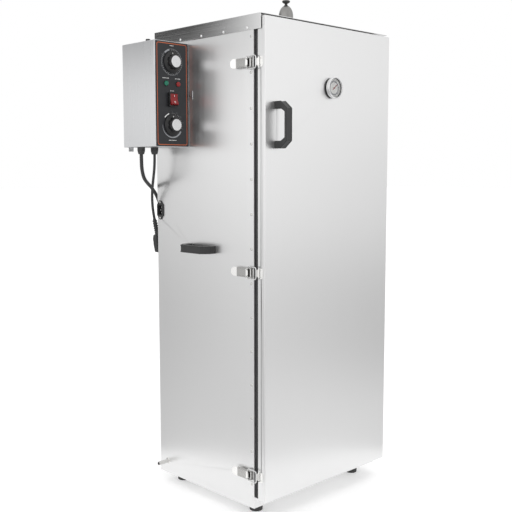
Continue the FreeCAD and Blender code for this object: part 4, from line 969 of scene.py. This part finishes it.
# ---- control panel
def ring_knob(z, body, name, node, cap_node):
    spot = on_panel(CONTROL_X, z)

    def scallop(a, r, h):
        if h <= 5.2 or r < 13.0:
            return 1.0
        wave = max(0.0, math.cos(8 * (a - math.pi / 2)))
        return 1.0 - 0.085 * wave ** 1.3 * min(1.0, (h - 5.2) / 1.2)

    bm = bmesh.new()
    lathe(bm, spot, [
        (0, -21.4), (3.0, -21.4), (3.0, 1.0), (23.4, 1.0), (24.8, 1.2), (25.0, 1.8), (24.7, 2.7), (21.2, 4.5),
        (18.4, 5.0), (17.9, 5.6), (17.8, 6.6), (17.2, 13.6), (16.6, 14.7), (15.8, 15.0), (0, 15.0),
    ], 128, scallop)
    piece("knob_" + name, bm, body, KNOB, [node], 0.0, 35.0)
    bm = bmesh.new()
    plate(bm, spot.moved(0, 20.0, 4.55), rounded(1.8, 3.4, 0.5), 0.0, 0.35)
    piece("knob_mark_" + name, bm, body, PRINT_WHITE)
    bm = bmesh.new()
    profile = [(0, 15.05), (13.9, 15.05), (14.0, 15.6), (13.9, 17.7), (13.3, 18.4), (12.6, 18.5)]
    for i in range(10):
        r = 11.9 - 1.15 * i
        profile += [(r, 18.25), (r - 0.55, 18.1)]
    lathe(bm, spot, profile + [(0, 18.05)], 96)
    piece("knob_cap_" + name, bm, body, CAP, [cap_node], 0.0, 35.0)


PANEL = on_panel(CONTROL_X + 0.4, (BOX_Z0 + BOX_Z1) / 2)
bm = bmesh.new()
switch_hole = [(a - 0.4, b + SWITCH_Z - PANEL.at.z) for a, b in rounded(26.0, 32.0, 1.0, 2)]
plate(bm, PANEL, rounded(99.4, 248.0, 2.4), 0.0, 0.25, [switch_hole])
piece("panel_overlay", bm, "cabinet", OVERLAY)
PRINT = PANEL.moved(0, 0, 0.25)
bm = bmesh.new()
plate(bm, PRINT, rounded(90.5, 241.4, 5.0), 0.0, 0.05, [rounded(87.5, 238.4, 3.6)])
piece("panel_border", bm, "cabinet", PRINT_ORANGE)
UPPER = Spot(CONTROL_X, PRINT.at.y, TIMER_Z, X, Z)
LOWER = Spot(CONTROL_X, PRINT.at.y, THERMOSTAT_Z, X, Z)
bm = bmesh.new()
plate(bm, UPPER, circle(31.4, 96), 0.0, 0.04, [circle(30.9, 96)])
ribbon(bm, UPPER, arc(29.2, -45.0, -14.0), 3.2, 0.05)
crescent = arc(29.5, -90.0, -240.0, 48)
ribbon(bm, LOWER, crescent, [0.5 + 3.6 * i / 48 for i in range(49)], 0.05)
piece("panel_scale_bands", bm, "cabinet", PRINT_GREY)
bm = bmesh.new()
ribbon(bm, LOWER, arc(28.6, -52.0, -20.0), 2.2, 0.05)
ticks(bm, UPPER, 0.0, 300.0, 31, 30.0, 1.6, 0.5)
ticks(bm, LOWER, 0.0, 105.0, 11, 29.6, 1.6, 0.5)
for across, z, bars in (
    (0.0, TIMER_Z + 38.5, 3), (-19.0, LAMP_Z + 12.5, 5), (17.5, LAMP_Z + 12.5, 4),
    (0.0, SWITCH_Z + 21.0, 3), (0.0, THERMOSTAT_Z - 36.5, 6),
):
    for i in range(bars):
        label = on_panel(CONTROL_X + across + 4.0 * (i - (bars - 1) / 2), z, 0.25)
        plate(bm, label, rounded(3.0, 1.5, 0.6, 2), 0.0, 0.05)
piece("panel_scales", bm, "cabinet", PRINT_WHITE)
marks = []
for i in range(6):
    a = math.radians(50.0 * i + 50.0)
    marks.append((str(i + 1), UPPER.moved(33.4 * math.sin(a), 33.4 * math.cos(a), 0.0)))
for i, text in enumerate(("1", "2", "3", "4", "5")):
    a = math.radians(26.25 * i)
    marks.append((text, LOWER.moved(33.0 * math.sin(a), 33.0 * math.cos(a), 0.0)))
numbers("panel_numbers", marks, "cabinet", PRINT_GREY, 3.2)
ring_knob(TIMER_Z, "timer_knob", "timer", "timer_knob", "timer_knob_cap")
ring_knob(THERMOSTAT_Z, "thermostat_knob", "thermostat", "thermostat_knob", "thermostat_knob_cap")

# ---- lamps
lamp_bodies = bmesh.new()
for side, look, name in ((-1, GREEN, "green"), (1, RED, "red")):
    spot = on_panel(CONTROL_X + side * LAMP_DX, LAMP_Z)
    bm = bmesh.new()
    dome = [(6.0 * math.cos(a), 2.4 + 4.0 * math.sin(a)) for a in (math.pi / 2 * i / 10 for i in range(10))]
    lathe(bm, spot, [(0, 0.5), (5.9, 0.5), (6.0, 1.6)] + dome + [(0, 6.4)], 48)
    piece("lamp_" + name, bm, "cabinet", look)
    lathe(lamp_bodies, spot, [
        (0, -22.0), (1.2, -22.0), (1.2, -18.0), (5.0, -17.5), (5.0, 0.0), (7.0, 0.1), (7.2, 0.4),
        (7.1, 1.3), (6.7, 1.7), (6.1, 1.7), (6.1, 0.4), (0, 0.4),
    ], 48)
piece("lamp_collars", lamp_bodies, "cabinet", SWITCH, ["indicator_lamps"])

# ---- rocker
PIVOT_Y = PANEL_Y - 3.5
TILT = math.radians(10.0)
MARK_AT = 7.4
MARK_SLOPE = math.atan(0.19)


def tilted(y, z):
    """Rocker point in its own frame, turned to the off side."""
    return (y * math.cos(TILT) + z * math.sin(TILT), -y * math.sin(TILT) + z * math.cos(TILT))


bm = bmesh.new()
upper = [(6.0, 9.0), (1.0, 13.4), (-5.5, 13.2), (-7.5, 12.4), (-7.1, 9.0), (-6.4, 5.0), (-5.8, 1.5)]
outline = [(y, -z) for y, z in upper] + [(-5.6, 0.0)] + upper[::-1]
ROCK = Spot(CONTROL_X, PIVOT_Y, SWITCH_Z, Y, Z)
plate(bm, ROCK, [tilted(a, b) for a, b in outline], -10.6, 10.6)
lathe(bm, ROCK, [(0, -11.7), (1.5, -11.7), (1.5, 11.7), (0, 11.7)], 20)
piece("rocker_body", bm, "rocker", ROCKER, ["switch_rocker"], 0.9)
bm = bmesh.new()
for side, outline, holes in ((1, rounded(0.8, 5.0, 0.3, 2), ()), (-1, circle(2.4, 28), [circle(1.7, 28)])):
    y0, z0 = tilted(-6.85, side * MARK_AT)
    lean = TILT - side * MARK_SLOPE
    up = Vector((0, math.sin(lean), math.cos(lean)))
    plate(bm, Spot(CONTROL_X, PIVOT_Y + y0, SWITCH_Z + z0, X, up), outline, 0.0, 0.35, holes)
piece("rocker_marks", bm, "rocker", PRINT_WHITE)

# ---- power inlet
INLET_SPOT = on_wall(INLET_Y, INLET_Z)
bm = bmesh.new()
flange = []
for cx, cy, start, end, r in ((0.0, 18.1, 20, 160, 6.5), (0.0, -18.1, 200, 340, 6.5)):
    if cy < 0:
        flange += [(-11.7, 14.5), (-12.7, 13.5), (-12.7, -13.5), (-11.7, -14.5)]
    for i in range(13):
        a = math.radians(start + (end - start) * i / 12)
        flange.append((cx + r * math.cos(a), cy + r * math.sin(a)))
flange += [(11.7, -14.5), (12.7, -13.5), (12.7, 13.5), (11.7, 14.5)]
socket = [(-8.2, -12.0), (8.2, -12.0), (8.2, 9.0), (5.6, 12.0), (-5.6, 12.0), (-8.2, 9.0)]
plate(bm, INLET_SPOT, flange, 0.0, 3.0, [socket])
plate(bm, INLET_SPOT, rounded(20.4, 27.8, 1.5), -16.0, 0.0, [socket])
plate(bm, INLET_SPOT, rounded(20.4, 27.8, 1.5), -17.5, -14.0)
plate(bm, INLET_SPOT, [(a * 1.06, b * 1.04) for a, b in socket], 3.0, 3.5, [socket])
piece("inlet_body", bm, "cabinet", INLET, ["power_inlet"], 0.4)
bm = bmesh.new()
for a, b in ((-2.0, 0.0), (2.0, 7.0), (2.0, -7.0)):
    plate(bm, INLET_SPOT.moved(a, b, 0), rounded(1.9, 4.0, 0.3, 2), -20.0, -1.0)
piece("inlet_blades", bm, "cabinet", FASTENER, (), 0.3)


# ---- drain
def pipe(bm, path, outer, inner, sides=32):
    """Round tube along a path with one outer radius for each point."""
    start = len(bm.verts)
    sweep(bm, path, outer, sides)
    bm.verts.ensure_lookup_table()
    shell = bm.verts[start:]
    ends = [shell[:sides], shell[-sides:]]
    for face in [f for f in bm.faces if len(f.verts) == sides]:
        bm.faces.remove(face)
    start = len(bm.verts)
    sweep(bm, path, inner, sides)
    for face in [f for f in bm.faces if len(f.verts) == sides]:
        bm.faces.remove(face)
    bm.verts.ensure_lookup_table()
    core = bm.verts[start:]
    for ring, hole in zip(ends, [core[:sides], core[-sides:]]):
        for i in range(sides):
            bm.faces.new((ring[i - 1], ring[i], hole[i], hole[i - 1]))


bm = bmesh.new()
elbow = [(DRAIN_X, DRAIN_Y, DRAIN_TOP_Z), (DRAIN_X, DRAIN_Y, DRAIN_Z), (-227.0, DRAIN_Y, DRAIN_Z)]
path = bent(elbow, 3.0, 4)
radii = [6.0] * len(path)
path += [Vector((x, DRAIN_Y, DRAIN_Z)) for x in (-227.2, -256.6, -257.4, -258.4, -259.0)]
radii += [5.0, 5.0, 5.0, 5.0, 4.8]
pipe(bm, path, radii, 4.0)
collar = [(4.9, 0.0), (8.0, 0.0), (7.9, 0.5), (6.2, 1.3), (5.2, 1.6), (4.9, 1.6)]
lathe(bm, on_wall(DRAIN_Y, DRAIN_Z), collar, 48)
piece("drain_tube", bm, "cabinet", FASTENER, ["drain_spout"], 0.0, 40.0)

# ---- damper knob
bm = bmesh.new()
lathe(bm, upward(0.0, VENT_Y, DAMPER_TOP_Z), [
    (0, 0.0), (4.6, 0.0), (4.6, 1.9), (3.6, 2.4), (3.4, 5.0), (4.6, 6.4), (8.0, 8.0), (9.7, 9.8),
    (10.0, 11.2), (9.7, 12.6), (8.6, 13.6), (6.0, 14.0), (5.4, 13.6), (0, 13.5),
], 72, lambda a, r, h: 1.0 - 0.025 * (math.cos(18 * a) > 0.2) * (r > 9.0))
piece("damper_knob_body", bm, "damper", VENT_KNOB, ["damper_knob"], 0.0, 40.0)

# ---- cable glands and grommet
bm = bmesh.new()
for x in GLAND_XS:
    spot = Spot(x, GLAND_Y, BOX_Z0, X, -Y)
    bore = POWER_CORD_R if x < -290.0 else HEATER_LEAD_R
    plate(bm, spot, circle(10.5, 6), 0.3, 6.6)
    lathe(bm, spot, [(9.0, 0.0), (9.9, 0.0), (9.9, 0.5), (9.0, 0.5)], 40)
    lathe(bm, spot, [
        (bore, 17.0), (6.6, 17.0), (7.2, 16.4), (8.2, 13.2), (9.2, 9.4), (9.4, 8.8), (9.4, 6.6), (bore, 6.6),
    ], 72, lambda a, r, h: 1.0 - 0.03 * (math.cos(16 * a) > 0.3) * (8.5 < r < 9.45))
    lathe(bm, spot, [(bore, -8.0), (7.5, -8.0), (7.5, 0.3), (bore, 0.3)], 40)
piece("gland_bodies", bm, "cabinet", GLAND, ["cable_glands"], 0.3)
bm = bmesh.new()
lathe(bm, upward(*GROMMET_AT, BOX_Z1), [
    (0, 0.0), (6.6, 0.0), (6.8, 0.8), (6.5, 2.4), (5.7, 3.0), (5.6, 5.8), (5.0, 7.0), (3.8, 7.3),
    (3.2, 6.4), (0, 6.0),
], 40)
piece("box_grommet", bm, "cabinet", SEAL)

# ---- feet
bm = bmesh.new()
for x, y in FEET:
    spot = upward(x, y, 0.0)
    lathe(bm, spot, [
        (0, 1.4), (9.0, 1.4), (9.8, 0.0), (15.2, 0.0), (16.0, 0.7), (16.4, 7.0), (16.1, 7.7), (16.3, 8.4),
        (17.5, 23.6), (18.0, 24.6), (18.0, 26.0), (0, 26.0),
    ], 56)
piece("rubber_feet", bm, "cabinet", FOOT, ["feet"])

# ---- floor, surroundings and light
RING_R = 3.3


def lit(name, color, strength):
    material = bpy.data.materials.new(name)
    material.use_nodes = True
    tree = material.node_tree
    tree.nodes.clear()
    shader = tree.nodes.new("ShaderNodeEmission")
    shader.inputs["Color"].default_value = (*color, 1.0)
    shader.inputs["Strength"].default_value = strength
    output = tree.nodes.new("ShaderNodeOutputMaterial")
    tree.links.new(shader.outputs["Emission"], output.inputs["Surface"])
    return material, tree, shader


def stage_mesh(name, bm, material):
    bmesh.ops.scale(bm, vec=(MM, MM, MM), verts=bm.verts)
    mesh = bpy.data.meshes.new(name)
    bm.to_mesh(mesh)
    bm.free()
    mesh.materials.append(material)
    made = bpy.data.objects.new(name, mesh)
    bpy.context.scene.collection.objects.link(made)
    return made


def ease(value, low, high):
    t = min(1.0, max(0.0, (value - low) / (high - low)))
    return t * t * (3 - 2 * t)


def rise(value, stops):
    """Smooth level through (value, level) stops."""
    level = stops[0][1]
    for (v0, l0), (v1, l1) in zip(stops, stops[1:]):
        if value > v0:
            level = l0 + (l1 - l0) * ease(value, v0, v1)
    return level


WALL_REAR = [(-2.6, 0.60), (-1.2, 0.46), (0.0, 0.38), (0.5, 0.46), (1.2, 0.84)]
WALL_FRONT = [(-2.6, 0.76), (-1.2, 0.80), (0.0, 0.92), (0.6, 1.16), (1.6, 1.24)]
DOOR_RIGHT = [(-2.6, 0.80), (-1.2, 0.52), (0.0, 0.50), (0.6, 0.76), (1.4, 0.92)]
DOOR_LEFT = [(-2.6, 0.88), (-1.2, 0.78), (0.0, 0.86), (0.6, 1.08), (1.4, 1.14)]


def glow(azimuth, h):
    """Brightness by direction, in degrees clockwise from the back, and height in metres.

    A height below zero is a place on the floor, counted inward from the ring's foot.
    """
    a = azimuth if azimuth <= 180 else azimuth - 360
    wall = rise(h, WALL_REAR) + (rise(h, WALL_FRONT) - rise(h, WALL_REAR)) * ease(-a, 37.0, 50.0)
    wall *= 1.0 - 0.97 * ease(a, -54.0, -42.0) * ease(h, 1.45, 1.58) * (1 - ease(h, 2.0, 2.3))
    door = rise(h, DOOR_RIGHT) + (rise(h, DOOR_LEFT) - rise(h, DOOR_RIGHT)) * ease(a, 126.0, 142.0)
    share = ease(a, 10.0, 60.0) if a > -90 else ease(-a, 110.0, 170.0)
    return wall + (door - wall) * share


def studio_ring():
    """Wall and foot of soft light seen in reflections only; its brightness is stored with its points."""
    bm = bmesh.new()
    around = 180
    layer = bm.verts.layers.float.new("glow")
    reach = [(RING_R - 0.1 * j, 0.002, -0.1 * j) for j in range(28, 0, -1)]
    reach += [(RING_R, h / 10.0, h / 10.0) for h in range(35)]
    rows = []
    for r, z, level in reach:
        row = []
        for i in range(around):
            a = 2 * math.pi * i / around
            v = bm.verts.new((r * math.sin(a) / MM, r * math.cos(a) / MM, z / MM))
            v[layer] = glow(math.degrees(a), level)
            row.append(v)
        rows.append(row)
    for low, high in zip(rows, rows[1:]):
        for i in range(around):
            j = (i + 1) % around
            bm.faces.new((low[i], low[j], high[j], high[i]))
    material, tree, shader = lit("studio_ring", (1.0, 1.0, 1.0), 1.0)
    level = tree.nodes.new("ShaderNodeAttribute")
    level.attribute_name = "glow"
    tree.links.new(level.outputs["Fac"], shader.inputs["Strength"])
    made = stage_mesh("studio_ring", bm, material)
    made.visible_camera = False
    made.visible_diffuse = False
    made.visible_transmission = False
    made.visible_shadow = False
    return made


studio_ring()
bm = bmesh.new()
plate(bm, upward(0, 0, 0), [(-30000, -30000), (30000, -30000), (30000, 30000), (-30000, 30000)], -20.0, 0.0)
floor_look = Look("floor", (0.74, 0.74, 0.74), 0.7)
floor_look.shader.inputs["Emission Color"].default_value = (1.0, 1.0, 1.0, 1.0)
floor_look.shader.inputs["Emission Strength"].default_value = 0.36
floor_look.vary_roughness(floor_look.noise(400.0), 0.03)
stage_mesh("floor", bm, floor_look.material)

world = bpy.data.worlds.new("studio")
world.use_nodes = True
world.node_tree.nodes["Background"].inputs["Color"].default_value = (1.0, 1.0, 1.0, 1.0)
world.node_tree.nodes["Background"].inputs["Strength"].default_value = 1.0
bpy.context.scene.world = world


def softbox(name, at, aim, size, power):
    data = bpy.data.lights.new(name, "AREA")
    data.shape = "RECTANGLE"
    data.size = size[0]
    data.size_y = size[1]
    data.energy = power
    made = bpy.data.objects.new(name, data)
    made.location = at
    made.rotation_euler = (Vector(aim) - Vector(at)).to_track_quat("-Z", "Y").to_euler()
    made.visible_camera = False
    made.visible_glossy = False
    bpy.context.scene.collection.objects.link(made)


softbox("softbox_top", (-0.4, -0.6, 3.4), (0.0, 0.0, 0.5), (2.6, 2.6), 12.0)
softbox("softbox_front", (-2.4, -2.8, 2.2), (0.0, 0.0, 0.6), (1.8, 1.8), 8.0)
